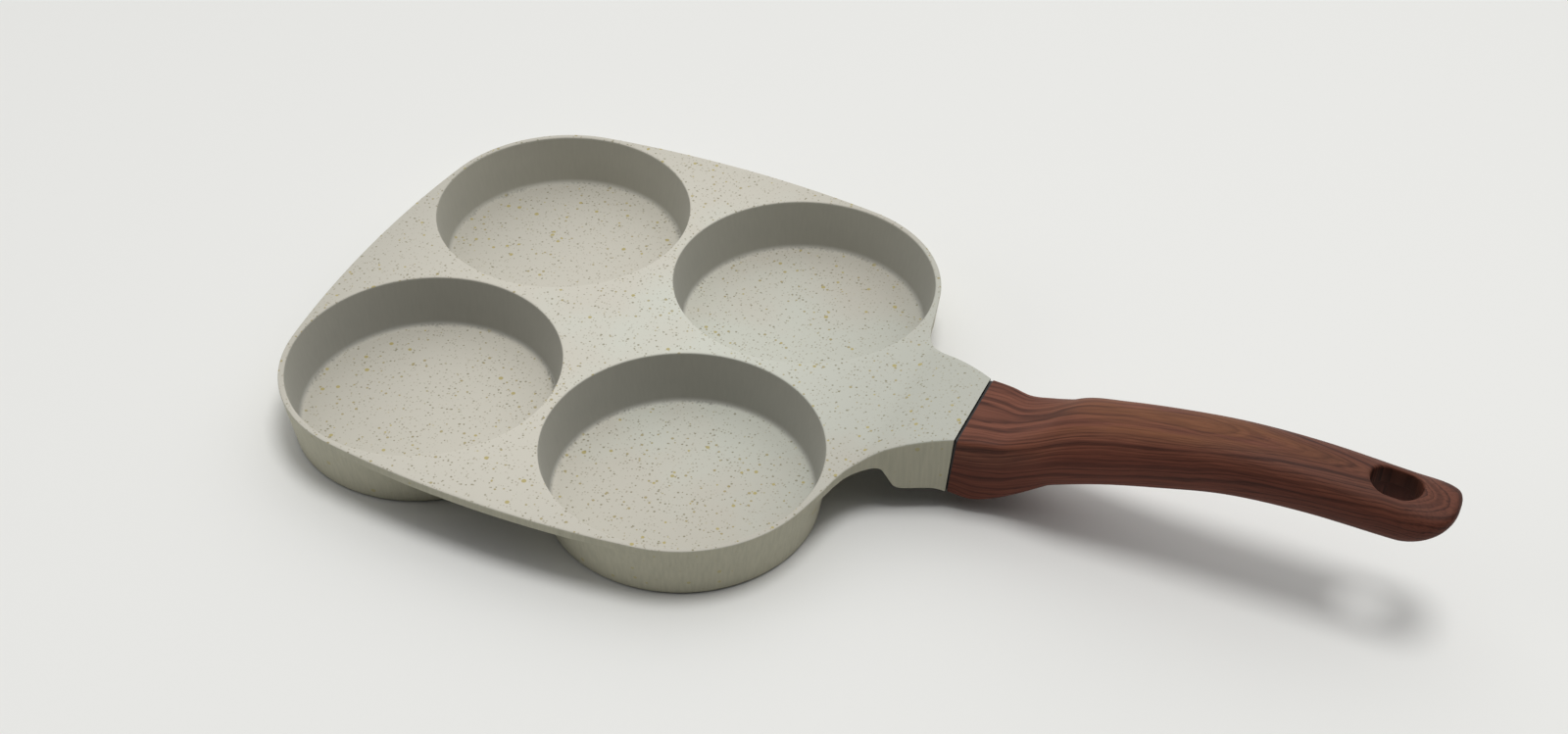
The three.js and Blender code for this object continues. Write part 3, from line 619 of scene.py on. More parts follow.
# Painted shade under overhangs.
overhang_shade = add("MapRange", facing, UNDER_FULL, UNDER_NONE, 1.0, 0.0)
wall_middle = (CUP_RIM_RADIUS + CUP_WALL / 2) / 1000
drafted = add("Math", height, -np.tan(CUP_DRAFT), from_axis, operation="MULTIPLY_ADD")
outside = add("MapRange", drafted, wall_middle - WALL_BLUR, wall_middle + WALL_BLUR)
inside = add("MapRange", outside, 0.0, 1.0, 1.0, 0.0)

# The film on level faces with its painted shade, then on walls with their painted light and shade
# Painted shade: the cooler tint round the neck, its edge made cloudy by a noise.
cloud = add("TexNoise", place, 1000 / CLOUD_SIZE, FINE_DETAIL)
passes = add("Math", cloud, CLOUD_SHIFT, from_cool, operation="MULTIPLY_ADD")
cool_limits = (COOL_SHADE_FULL + CLOUD_SHIFT / 2, COOL_SHADE_NONE + CLOUD_SHIFT / 2)
cool = add("MapRange", passes, *cool_limits, 1.0, 0.0)
# Painted shade: darker away from the lit middle and on the cup floors.
dim_limits = (DIM_FROM, DIM_TO, 0.0, DIM_SHARE)
painted_dimming = add("MapRange", from_lit_middle, *dim_limits, interpolation_type="SMOOTHSTEP")
floor_shade = add("MapRange", *over_fillet, FLOOR_SHADE_SHARE, 0.0)
painted_dimming = add("Math", painted_dimming, floor_shade, operation="ADD")
tint = COAT_WARM
for share, colour in ((cool, COAT_COOL_SHADE), (painted_dimming, PAINTED_SHADE_COLOUR)):
    tint = add("Mix", share, tint, colour, data_type="RGBA")
# Painted light on the inner walls, at the back and near the rims.
to_back = add("VectorMath", from_middle, LIT_WAY, operation="DOT_PRODUCT")
lit_at_back = add("MapRange", to_back, LIT_FROM, LIT_TO)
lit_near_rim = add("MapRange", height, -RIM_LIGHT_BAND, 0.0, 0.0, RIM_LIGHT_SHARE)
painted_light = add("Math", lit_at_back, lit_near_rim, operation="ADD", use_clamp=True)
# Painted shade on the walls, with painted light at the back and by the rims, then the real streaks.
shaded_wall = INSIDE_WALL_SHADE
for share, colour in ((painted_light, LIT_WALL), (outside, OUTSIDE_WALL_SHADE), (overhang_shade, UNDERSIDE_SHADE)):
    shaded_wall = add("Mix", share, shaded_wall, colour, data_type="RGBA")
upright = add("VectorMath", place, 1000 / STREAK_SIZE, operation="MULTIPLY")
runs = add("TexNoise", upright, 1.0)
streak = add("MapRange", runs, *STREAK_NOISE, *STREAK_TONE)
streaky = add("MapRange", outside, 0.0, 1.0, STREAKS_INSIDE, 1.0)
shaded_wall = add("Mix", streaky, shaded_wall, streak, data_type="RGBA", blend_type="MULTIPLY")
coat = add("Mix", level, shaded_wall, tint, data_type="RGBA")

# Specks, then wear
for spacing, radius, share, colour, strength, on_walls in SPECKS:
    cells = add("TexVoronoi", place, 1000 / spacing).node
    lot = add("SeparateColor", cells.outputs["Color"])
    size = add("MapRange", lot, 1 - share, 1.0, 0.0, radius / spacing)
    depth = add("Math", size, cells.outputs["Distance"], operation="SUBTRACT")
    spot = add("MapRange", depth, 0.0, SPECK_BLUR / spacing, 0.0, strength)
    hit = add("Math", outside, on_walls, operation="MULTIPLY")
    reached = add("Math", hit, level, operation="MAXIMUM")
    shown = add("Math", spot, reached, operation="MULTIPLY")
    coat = add("Mix", shown, coat, colour, data_type="RGBA")
edge_limits = ((floor_radius - CUP_FLOOR_FILLET) / 1000, (floor_radius - WORN_TO_WALL) / 1000)
floor_edge = add("MapRange", from_axis, *edge_limits)
worn_top = (CUP_FLOOR_FILLET * WORN_UP_FILLET - CUP_DEPTH) / 1000
near_floor = add("MapRange", height, worn_top, worn_top + WORN_FADE, WORN_SHARE, 0.0)
crumbs = add("TexNoise", place, 1000 / CRUMB_SIZE, FINE_DETAIL)
rubbed = add("TexNoise", place, 1000 / RUB_SIZE)
gathered = add("Math", crumbs, rubbed, operation="ADD")
worn = add("MapRange", gathered, *RUB_LIMITS)
for mask in (floor_edge, near_floor, inside):
    worn = add("Math", worn, mask, operation="MULTIPLY")
coat = add("Mix", worn, coat, WORN_COLOUR, data_type="RGBA")
grit = add("TexNoise", place, 1000 / GRIT_SIZE)
gloss = add("MapRange", grit, 0.0, 1.0, *COAT_GLOSS)
relief = add("Bump", *RELIEF, grit)
fill(shader, {"Base Color": coat, "Roughness": gloss, "Normal": relief, "Specular IOR Level": 0.35})


def mottled(name, size, colours, roughness, detail=2.0, metallic=0.0):
    """A material of two colours, mixed by a noise that is as long as size says in mm, along each axis or
    all. Two values of roughness are mixed by the same noise, and one is set as it is."""
    material, add, shader = new_material(name)
    place = add("TexCoord", give="Object")
    stretched = add("VectorMath", place, 1000 / np.broadcast_to(size, 3), operation="MULTIPLY")
    noise = add("TexNoise", stretched, 1.0, detail)
    shade = add("Mix", noise, *map(linear, colours), data_type="RGBA")
    if np.ndim(roughness):
        roughness = add("MapRange", noise, 0.0, 1.0, *roughness)
    fill(shader, {"Base Color": shade, "Roughness": roughness, "Metallic": metallic})
    return material


# Primer under the coat: the joint face and the tang are masked when the coat is sprayed, so they
# stay dull black with a little dust in them. The black also serves as painted shade for the narrow gap
# at the joint.
DUST_SIZE = 0.7
primer_as_joint_shade = mottled("black_primer_joint_shade", DUST_SIZE, ("#0f0f0e", "#22211f"), 0.8)

coat_slots = [0] * (len(body_grids) - 2) + [1, 1]
body = joined("pan_body", body_grids, [stone_coat, primer_as_joint_shade], coat_slots)
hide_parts("pan_casting")

# Induction discs
# Four punched discs of ferritic stainless steel, brushed, pressed into seats under the cups so that
# the pan heats on an induction hob.
DISC_RADIUS = 33.0
DISC_THICKNESS = 0.6
DISC_INSET = 0.2
DISC_HOLE_RADIUS = 1.7
DISC_RING_PITCH = 8.4
DISC_RINGS = 3
DISC_HOLES = 6  # on the first ring, and as many more on each next one
DISC_EDGE = 0.12
BORDER_STEP = np.radians(2.5)
SIDE_POINTS = 8
SCRATCH_SIZE = (40, 0.35, 0.35)


def holed_cell(ring):
    """One hole's share of the disc, at its ring's first place: the loop round its sector, the hole's
    centre, and the directions from that centre to the loop's points."""
    half = np.pi / (DISC_HOLES * ring)
    low, high = (ring - 0.5) * DISC_RING_PITCH, (ring + 0.5) * DISC_RING_PITCH
    steps = round(2 * half / BORDER_STEP)
    turn = np.linspace(-half, half, steps + 1)
    rise = np.linspace(low, high, SIDE_POINTS + 1)
    radius = np.concatenate((0 * turn + high, rise[::-1][1:], 0 * turn[1:] + low, rise[1:]))
    angle = np.concatenate((turn, 0 * rise[1:] + half, turn[::-1][1:], 0 * rise[1:] - half))
    loop = np.stack((radius * np.cos(angle), radius * np.sin(angle)), -1)
    centre = np.array((ring * DISC_RING_PITCH, 0))
    ray = loop - centre
    return loop, centre, ray / np.linalg.norm(ray, axis=1, keepdims=True)


def disc_grids(centre):
    """A disc with its holes: lower and upper face, hole walls with eased edges, and rim. Sectors of
    each ring are turned copies of one cell, and all circles between rings have the same steps."""
    low, high = BASE_Z + DISC_INSET, BASE_Z + DISC_INSET + DISC_THICKNESS
    grids = []
    around = np.arange(0, 2 * np.pi + BORDER_STEP / 2, BORDER_STEP)
    for ring in range(1, DISC_RINGS + 1):
        loop, middle, ray = holed_cell(ring)
        hole = middle + ray * DISC_HOLE_RADIUS
        eased = middle + ray * (DISC_HOLE_RADIUS + DISC_EDGE)
        lower_rows = [(loop, low), ((loop + 2 * eased) / 3, low), (eased, low)]
        upper_rows = [(hole, low + DISC_EDGE), (hole, high), (loop, high)]
        cell = np.array([lifted(plan, z) for plan, z in lower_rows + upper_rows])
        for turn in np.linspace(0, 2 * np.pi, DISC_HOLES * ring, endpoint=False):
            spin = np.array(((np.cos(turn), np.sin(turn), 0), (-np.sin(turn), np.cos(turn), 0), (0, 0, 1)))
            grids.append(cell @ spin)
    inner, outer = 0.5 * DISC_RING_PITCH, (DISC_RINGS + 0.5) * DISC_RING_PITCH
    rim = [(DISC_RADIUS - DISC_EDGE, low), (DISC_RADIUS, low + DISC_EDGE), (DISC_RADIUS, high)]
    grids.append(revolved(np.array([(outer, low), *rim, (outer, high)]), around))
    grids += [revolved(np.array([(0, z), (inner, z)]), around) for z in (low, high)]
    return [grid + (*centre, 0) for grid in grids]


# Brushed ferritic stainless steel: grey metal with fine straight scratches across the disc.
STAINLESS = (("#8f8d88", "#bab8b3"), (0.28, 0.5))
brushed_steel = mottled("brushed_ferritic_stainless", SCRATCH_SIZE, *STAINLESS, FINE_DETAIL, 1.0)

for across_name, x in (("left", -HALF_PITCH), ("right", HALF_PITCH)):
    for depth_name, y in (("front", -HALF_PITCH), ("back", HALF_PITCH)):
        disc = joined(f"disc_{depth_name}_{across_name}", disc_grids((x, y)), [brushed_steel])
        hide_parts(f"induction_disc_{depth_name}_{across_name}")

# Handle
# Phenolic resin moulded to shape in one piece: a square collar against the boss, a waist, a long palm
# and a rounded end with a slot to hang it by. The skin is printed with a wood grain from a film. A
# socket takes the tang, and the screw comes up through a pocket in the underside.
GRIP_LENGTH = 148.4
JOINT_GAP = 0.2
BARE_TOP = 0.9
BARE_FOOT = 0.3
BARE_INSET = 0.3
BARE_EASE = 0.2
COLLAR_STEP = 0.4
COLLAR_SQUARENESS = 20.0
GRIP_SQUARENESS = 2.4
COLLAR_LENGTH = 30.0
COLLAR_EASE = 1.5
NOSE_LENGTH = 13.0
NOSE_SQUARENESS = 2.8
HEEL_LENGTH = 15.0
HEEL_SQUARENESS = 1.6
TIP_ROUND = 2.0
SKIN_INSET = 0.01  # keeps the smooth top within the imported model's facets
COLLAR_HEIGHT = NECK_RISE - BOSS_FOOT_Z + COLLAR_STEP
COLLAR_WIDTH = BOSS_WIDTH + 2 * COLLAR_STEP
GRIP_SECTIONS = np.array(
    (  # along the handle, rise of the top over the neck, height, width
        (0, 0, COLLAR_HEIGHT, COLLAR_WIDTH),
        (7.8, 0.9, 25.1, 31.4),
        (14.8, 1.5, 24.1, 28.6),
        (22.8, 5.3, 23.8, 27.5),
        (32.8, 11.6, 25.2, 28.4),
        (45.8, 15.4, 24, 26.8),
        (62.8, 19.2, 22.8, 24.8),
        (82.8, 21.9, 20, 23.8),
        (105.8, 22.5, 18.1, 23.4),
        (130.8, 21, 16.5, 23),
        (GRIP_LENGTH, 19.8, 15.2, 22.6),
    )
)
GRIP_X = JOINT_X + JOINT_GAP
SLOT_LENGTH = 15.6
SLOT_WIDTH = 12.0
SLOT_TO_END = 11.2
SLOT_MOUTH_ROUND = 1.0
TANG_CLEARANCE = 0.3
TANG_END_CLEARANCE = 1.0
SCREW_ALONG = 13.0
SCREW_RADIUS = 2.0
SCREW_CLEARANCE = 0.25
SCREW_SEAT_WALL = 3.2
POCKET_RADIUS = 5.2
POCKET_MOUTH_ROUND = 0.5
SEAT_Z = NECK_RISE - TANG_TOP_COVER - TANG_THICKNESS - TANG_CLEARANCE - SCREW_SEAT_WALL
SCREW_X = JOINT_X + SCREW_ALONG

# Steps of the handle's grids, and the windows that are left in its skin for the mouths of the holes
AROUND, CORNER_CROWDING = 144, 0.55
PALM_ROWS, HEEL_ROWS, SLOT_ROWS = 130, 36, 9
APRON_ROWS = (0.25, 0.5, 0.75, 0.93, 1)
MOUTH_POINTS, HEIGHT_GUESSES = 7, 5
SLOT_WINDOW, SLOT_WINDOW_ANGLE = np.array((-11.0, 10.8)), np.radians(43)  # along, from the slot's middle
POCKET_WINDOW, POCKET_WINDOW_ANGLE = (4.5, 22.0), np.radians(241)


def smooth_through(table, along):
    """Cubic pieces through the rows of a table, each after its place along the handle. The slope at a
    row is the mean of the slopes of the two straight lines that meet there, and at an end it is the
    end line's."""
    stations, values = table[:, 0], table[:, 1:]
    chords = np.diff(values, axis=0) / np.diff(stations)[:, None]
    slopes = np.concatenate((chords[:1], (chords[1:] + chords[:-1]) / 2, chords[-1:]))
    k = np.clip(np.searchsorted(stations, along, side="right") - 1, 0, len(chords) - 1)
    span = np.diff(stations)[k][..., None]
    t = (along - stations[k])[..., None] / span
    ends = (1 + 2 * t) * (1 - t) ** 2 * values[k] + t**2 * (3 - 2 * t) * values[k + 1]
    return ends + span * t * (1 - t) * ((1 - t) * slopes[k] - t * slopes[k + 1])


def tip_share(to_tip, length, squareness):
    """The share of a size that is left near the tip: a superellipse over the given length."""
    return (1 - np.clip(1 - to_tip / length, 0, 1) ** squareness) ** (1 / squareness)


def grip_section(along):
    """The handle's section at a place along it: top line, upper and lower limit, half width, exponent
    of the superellipse, and lean. Upper and lower limit meet at the tip, below its rounded top edge."""
    rise, height, width = np.moveaxis(smooth_through(GRIP_SECTIONS, along), -1, 0)
    collar = np.clip(1 - along / COLLAR_LENGTH, 0, 1)
    squareness = GRIP_SQUARENESS + (COLLAR_SQUARENESS - GRIP_SQUARENESS) * collar**COLLAR_EASE
    to_tip = GRIP_LENGTH - along
    print_lean = (BARE_TOP - BARE_FOOT) / COLLAR_HEIGHT * np.clip(along / BARE_TOP, 0, 1)
    top = NECK_RISE + rise - SKIN_INSET
    upper = top - TIP_ROUND * (1 - tip_share(to_tip, TIP_ROUND, 2))
    lower = top - TIP_ROUND - (height - TIP_ROUND) * tip_share(to_tip, HEEL_LENGTH, HEEL_SQUARENESS)
    half_width = width / 2 * tip_share(to_tip, NOSE_LENGTH, NOSE_SQUARENESS)
    return top, upper, lower, half_width, squareness, (np.tan(JOINT_LEAN) + print_lean) * collar


def grip_skin(along, angles, inset=0):
    """Points of the skin, or of one set in from it: rays at the given angles from the section's middle
    to its superellipse, which leans back with the joint where the collar begins."""
    top, upper, lower, half_width, squareness, lean = grip_section(along)
    c, s = np.cos(angles), np.sin(angles)
    reach = (np.abs(c) ** squareness + np.abs(s) ** squareness) ** (-1 / squareness)
    z = (upper + lower) / 2 + ((upper - lower) / 2 - inset) * reach * s
    return np.stack((GRIP_X + along - lean * (top - z), (half_width - inset) * reach * c, z), -1)


def skin_height(plan, face):
    """Height of the skin over a point of the plan, on the upper (1) or the lower (-1) face. The place
    along the handle is found again after each guess at the height, because the collar leans."""
    along = plan[..., 0] - GRIP_X
    for _ in range(HEIGHT_GUESSES):
        top, upper, lower, half_width, squareness, lean = grip_section(along)
        bow = (1 - np.minimum(1, np.abs(plan[..., 1]) / half_width) ** squareness) ** (1 / squareness)
        z = (upper + lower) / 2 + face * (upper - lower) / 2 * bow
        along = plan[..., 0] - GRIP_X + lean * (top - z)
    return z


turn = np.linspace(0, 2 * np.pi, AROUND + 1)
skin_angles = turn + CORNER_CROWDING * np.sin(4 * turn) / 4
heel_start = GRIP_LENGTH - HEEL_LENGTH
palm_along = np.linspace(BARE_TOP, heel_start, PALM_ROWS, endpoint=False)
heel_along = heel_start + HEEL_LENGTH * np.sin(np.linspace(0, np.pi / 2, HEEL_ROWS))
skin_along = np.concatenate((palm_along, heel_along))
skin = grip_skin(skin_along[:, None], skin_angles)
# The print stops short of the joint, and the bare band in front of it lies a little deeper. Its black
# also paints in the dark line of shade in the gap at the joint.
band_along = np.array((0, BARE_EASE, BARE_TOP))[:, None]
band_inset = np.array((BARE_INSET + BARE_EASE, BARE_INSET, BARE_INSET))[:, None]
bare_band = np.concatenate((grip_skin(band_along, skin_angles, band_inset), skin[:1]))


def window_loop(grid, first, last, left, right):
    """The edge of a window in the skin's grid, from its first to its last row and its left to its right
    column, walked round once."""
    there = (grid[first:last, left], grid[last, left:right])
    back = (grid[last:first:-1, right], grid[first, right:left:-1], grid[first : first + 1, left])
    return np.concatenate(there + back)


def mouth_rows(loop, centre_x, half_straight, radius, mouth_round, face):
    """Rows from a window's edge along the skin to a hole, then over its rounded mouth. The hole is
    two half circles joined by straight sides, met by rays from its centre through the window's edge."""
    offset = loop[:, :2] - (centre_x, 0)
    c, s = np.moveaxis(offset / np.linalg.norm(offset, axis=1, keepdims=True), -1, 0)

    def hole(grown):
        """The hole's outline, grown all round: each ray ends on a straight side or on a half circle."""
        size = radius + grown
        on_side = np.abs(c) * size <= half_straight * np.abs(s)
        cap = half_straight * np.abs(c) + np.sqrt(np.maximum(0, size**2 - (half_straight * s) ** 2))
        reach = np.where(on_side, size / np.maximum(np.abs(s), NEARLY_ZERO), cap)
        return np.stack((centre_x + reach * c, reach * s), -1)

    apron = between(loop[:, :2], hole(mouth_round), APRON_ROWS)
    rows = [loop, *lifted(apron, skin_height(apron, face))]
    for turn in np.linspace(0, np.pi / 2, MOUTH_POINTS)[1:]:
        plan = hole(mouth_round * (1 - np.sin(turn)))
        rows.append(lifted(plan, skin_height(plan, face) - face * mouth_round * (1 - np.cos(turn))))
    return np.array(rows)


# Windows in the skin: the slot's upper and lower mouth, which lie over each other, and the pocket's
slot_round = SLOT_WIDTH / 2
half_straight = (SLOT_LENGTH - SLOT_WIDTH) / 2
slot_end = GRIP_X + GRIP_LENGTH - SLOT_TO_END - slot_round
slot_middle = slot_end - half_straight
slot_first, slot_last = np.searchsorted(skin_along, slot_middle - GRIP_X + SLOT_WINDOW)
slot_left = np.searchsorted(skin_angles, SLOT_WINDOW_ANGLE)
slot_right = AROUND // 2 - slot_left
under_left, under_right = AROUND - slot_right, AROUND - slot_left
pocket_first, pocket_last = np.searchsorted(skin_along, POCKET_WINDOW)
pocket_left = np.searchsorted(skin_angles, POCKET_WINDOW_ANGLE)
pocket_right = AROUND * 3 // 2 - pocket_left

slot_window = (slot_first, slot_last, slot_left, slot_right)
slot_shape = (slot_middle, half_straight, slot_round, SLOT_MOUTH_ROUND)
upper_mouth = mouth_rows(window_loop(skin, *slot_window), *slot_shape, 1)
lower_mouth = mouth_rows(window_loop(skin[:, ::-1], *slot_window), *slot_shape, -1)
slot_wall = between(upper_mouth[-1], lower_mouth[-1], np.linspace(0, 1, SLOT_ROWS))

pocket_edge = window_loop(skin, pocket_first, pocket_last, pocket_left, pocket_right)
pocket_mouth = mouth_rows(pocket_edge, SCREW_X, 0, POCKET_RADIUS, POCKET_MOUTH_ROUND, -1)
pocket_ray = (pocket_mouth[-1, :, :2] - (SCREW_X, 0)) / POCKET_RADIUS
screw_hole = SCREW_RADIUS + SCREW_CLEARANCE
hole_top = SEAT_Z + SCREW_SEAT_WALL - TANG_CLEARANCE
pocket_steps = ((POCKET_RADIUS, SEAT_Z), (screw_hole, SEAT_Z), (screw_hole, hole_top), (0, hole_top))
pocket_rows = [lifted((SCREW_X, 0) + pocket_ray * radius, z) for radius, z in pocket_steps]
pocket_wall = np.array([pocket_mouth[-1], *pocket_rows])


def collar_front(z):
    """Where the collar's front lies at a height: it leans like the joint."""
    return joint_x(z) + JOINT_GAP


front_angles = np.arctan2(bare_band[0, :, 2] - TANG_Z, bare_band[0, :, 1])
socket_end = JOINT_X + TANG_LENGTH + TANG_END_CLEARANCE
socket = bar_grid(front_angles, TANG_CLEARANCE, collar_front, socket_end)
collar_face = between(bare_band[0], socket[0], JOINT_ROWS)
pocket_stretch, slot_stretch = skin[pocket_first : pocket_last + 1], skin[slot_first : slot_last + 1]
printed_grids = [
    skin[: pocket_first + 1],
    pocket_stretch[:, : pocket_left + 1],
    pocket_stretch[:, pocket_right:],
    skin[pocket_last : slot_first + 1],
    slot_stretch[:, : slot_left + 1],
    slot_stretch[:, slot_right : under_left + 1],
    slot_stretch[:, under_right:],
    skin[slot_last:],
    upper_mouth,
    lower_mouth,
    slot_wall,
    pocket_mouth,
]
bare_grids = [bare_band, pocket_wall, collar_face, socket]

# Printed phenolic: a satin red-brown wood picture on a film that is wrapped round the handle. Three
# series of dark lines run along it. On top they part round a paler heart with feathered streaks, which
# begins behind the collar and closes at the slot. Painted shade makes the sides darker, a painted
# reflection of the pale table makes the underside paler again, and the whole tone darkens towards the
# end. Lengths are mm, along the handle or round it from its top.
PRINT_RADIUS, PRINT_CREST = 12.0, 3.0
DRIFTS = ((55, 12, 7.0, 1.0), (20, 3, 1.4, 2.0), (9, 0.6, 0.4, 2.0))  # length, width, shift, noise detail
HEART_COLOUR = linear("#7e5138")
HEART_START, HEART_FULL, HEART_CLOSES, HEART_END = 16.0, 46.0, 72.0, 128.0  # along
HEART_LAYERS, HEART_CORE, HEART_EDGE = 8.0, 6.5, 11.0  # by how much it closes, and its width, round
HEART_LINES = 0.35  # share of the lines' strength left in it
STAIN_SIZE, STAIN_SHIFT, STAIN_DETAIL = np.array((40, 5, 5)), (3, 1, 2), 4.0
STAIN_LIMITS = (0.36, 0.52)
TOP_COLOUR = linear("#784a3a")
SIDE_SHADE_COLOUR = linear("#603126")
SIDE_SHADE_FROM, SIDE_SHADE_TO = 8.0, 20.0  # round
COLLAR_SHADE_DROP, COLLAR_SHADE_REACH = 12.0, 35.0  # how much lower the painted side shade lies on the collar, how far along
# Painted reflection: the underside is paler and greyer, as the pale table would light it.
TABLE_REFLECTION_COLOUR = linear("#6f3f31")
REFLECTION_FROM, REFLECTION_TO = 13.5, 18.5  # round
LINE_COLOUR = linear("#2b1714")
PRINT_LINES = (  # spacing, share of it at which a line begins to darken, strength of the strongest
    (4.2, 0.7, 0.7),
    (1.9, 0.5, 0.8),
    (0.95, 0.4, 0.6),
)
LINE_NOISE, LINE_SHIFT = 0.6, 1.8  # steps of an unevenness in each spacing, spacings that it moves a line
LINE_DARKEST = 0.93  # share of a spacing
LINE_LENGTH, LINE_WANES = 30.0, (0.25, 0.5)
FAINTEST = 0.2
FIBRE_SIZE, FIBRE_LIMITS, FIBRE_SHARE = np.array((14, 0.45, 0.45)), (0.45, 0.75), 0.45
DARKENS_FROM, DARKENS_TO, END_TONE = 35.0, 115.0, 0.76  # along, share of light left

wood_print, add, shader = new_material("wood_print_on_phenolic")
grain = add("Attribute", give="Vector", attribute_name="grain")
way_round = add("Attribute", give="Fac", attribute_name="way_round")
along = add("SeparateXYZ", grain, give="X")
closing = add("MapRange", along, HEART_CLOSES, HEART_END, 0.0, HEART_LAYERS)
layer = add("Math", way_round, closing, operation="ADD")
for length, width, shift, detail in DRIFTS:
    place = add("VectorMath", grain, (1 / length, 1 / width, 1 / width), operation="MULTIPLY")
    drift = add("TexNoise", place, 1.0, detail)
    centred = add("Math", drift, 0.5, operation="SUBTRACT")
    layer = add("Math", centred, shift, layer, operation="MULTIPLY_ADD")
begun = add("MapRange", along, HEART_START, HEART_FULL)
heart = add("MapRange", layer, HEART_CORE, HEART_EDGE, begun, 0.0)
stain_place = add("VectorMath", grain, 1 / STAIN_SIZE, STAIN_SHIFT, operation="MULTIPLY_ADD")
stain = add("TexNoise", stain_place, 1.0, STAIN_DETAIL)
clear = add("MapRange", stain, *STAIN_LIMITS)
orange = add("Math", heart, clear, operation="MULTIPLY")
# Painted shade: the sides are darker than the top, lower down on the collar.
lower = add("MapRange", along, 0.0, COLLAR_SHADE_REACH, COLLAR_SHADE_DROP, 0.0)
side = add("Math", way_round, lower, operation="SUBTRACT")
side_shade = add("MapRange", side, SIDE_SHADE_FROM, SIDE_SHADE_TO, interpolation_type="SMOOTHSTEP")
# Painted reflection of the table on the underside.
table_reflection = add("MapRange", way_round, REFLECTION_FROM, REFLECTION_TO)
wood = TOP_COLOUR
for share, colour in ((orange, HEART_COLOUR), (side_shade, SIDE_SHADE_COLOUR), (table_reflection, TABLE_REFLECTION_COLOUR)):
    wood = add("Mix", share, wood, colour, data_type="RGBA")

# Each series: uneven layers with a number each, which sets a line's strength and where it wanes
boldest = add("MapRange", heart, 0.0, 1.0, 1.0, HEART_LINES)
stretch = add("Math", along, 1 / LINE_LENGTH, operation="MULTIPLY")
for spacing, darkens_from, strongest in PRINT_LINES:
    uneven = add("TexNoise", layer, LINE_NOISE / spacing, noise_dimensions="1D")
    steps = add("Math", layer, spacing, operation="DIVIDE")
    rings = add("Math", uneven, LINE_SHIFT, steps, operation="MULTIPLY_ADD")
    number = add("Math", rings, operation="FLOOR")
    part = add("Math", rings, operation="FRACT")
    lot = add("TexWhiteNoise", number, noise_dimensions="1D")
    drawn = add("MapRange", lot, 0.0, 1.0, FAINTEST, boldest)
    lane = add("CombineXYZ", stretch, number)
    wane = add("TexNoise", lane, 1.0, 1.0)
    kept = add("MapRange", wane, *LINE_WANES, FAINTEST)
    dark = add("MapRange", part, darkens_from, LINE_DARKEST, interpolation_type="SMOOTHSTEP")
    share = add("MapRange", part, LINE_DARKEST, 1.0, strongest, 0.0)
    for factor in (dark, drawn, kept):
        share = add("Math", share, factor, operation="MULTIPLY")
    wood = add("Mix", share, wood, LINE_COLOUR, data_type="RGBA")
fibre_place = add("VectorMath", grain, 1 / FIBRE_SIZE, operation="MULTIPLY")
fibre = add("TexNoise", fibre_place, 1.0, FINE_DETAIL)
streak = add("MapRange", fibre, *FIBRE_LIMITS, 0.0, FIBRE_SHARE)
wood = add("Mix", streak, wood, LINE_COLOUR, data_type="RGBA")
tone = add("MapRange", along, DARKENS_FROM, DARKENS_TO, 1.0, END_TONE)
wood = add("Mix", 1.0, wood, tone, data_type="RGBA", blend_type="MULTIPLY")
fill(shader, {"Base Color": wood, "Roughness": 0.55, "Specular IOR Level": 0.12})

# Bare phenolic in the band at the joint, inside the socket and in the pocket: dull black resin. In the
# band it also serves as painted shade for the gap at the joint.
MOTTLE_SIZE = 1.5
black_phenolic_and_joint_shade = mottled("bare_black_phenolic_joint_shade", MOTTLE_SIZE, ("#151312", "#241f1d"), 0.6)

slots = [0] * len(printed_grids) + [1] * len(bare_grids)
handle = joined("handle", printed_grids + bare_grids, [wood_print, black_phenolic_and_joint_shade], slots)
# The print's own coordinates in mm. The film follows the section before the end's rounding, and behind
# the slot it is laid round the slot's end, so that the lines run parallel to the tip. It is drawn
# straight down into the slot from both mouths.
MOUTH_MARGIN = 0.01
places = np.empty(3 * len(handle.data.vertices))
handle.data.vertices.foreach_get("co", places)
x, y, z = ((places.reshape(-1, 3) - PAN_ORIGIN) * 1000).T
along = x - GRIP_X
rise, height, width = smooth_through(GRIP_SECTIONS, np.clip(along, 0, GRIP_LENGTH)).T
off_slot = np.hypot(np.maximum(0, np.abs(x - slot_middle) - half_straight), y)
in_slot = off_slot < slot_round + SLOT_MOUTH_ROUND - MOUTH_MARGIN
upper_half = z > NECK_RISE + rise - height / 2
mouth_plan = np.stack((x, y), -1)
mouth_height = np.where(upper_half, skin_height(mouth_plan, 1), skin_height(mouth_plan, -1))
z = np.where(in_slot, mouth_height, z)
across = np.hypot(y, np.maximum(0, x - slot_end)) + TINY
turn_from_top = np.arctan2(across / (width / 2), (z - NECK_RISE - rise) / (height / 2) + 1)
sideways = np.sin(turn_from_top) * y / across
grain_places = np.stack((along, PRINT_RADIUS * sideways, PRINT_RADIUS * np.cos(turn_from_top)), -1)
print_layers = np.hypot(PRINT_RADIUS * turn_from_top, PRINT_CREST)
grain_data = handle.data.attributes.new("grain", "FLOAT_VECTOR", "POINT").data
grain_data.foreach_set("vector", grain_places.ravel())
handle.data.attributes.new("way_round", "FLOAT", "POINT").data.foreach_set("value", print_layers)
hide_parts("handle_grip")

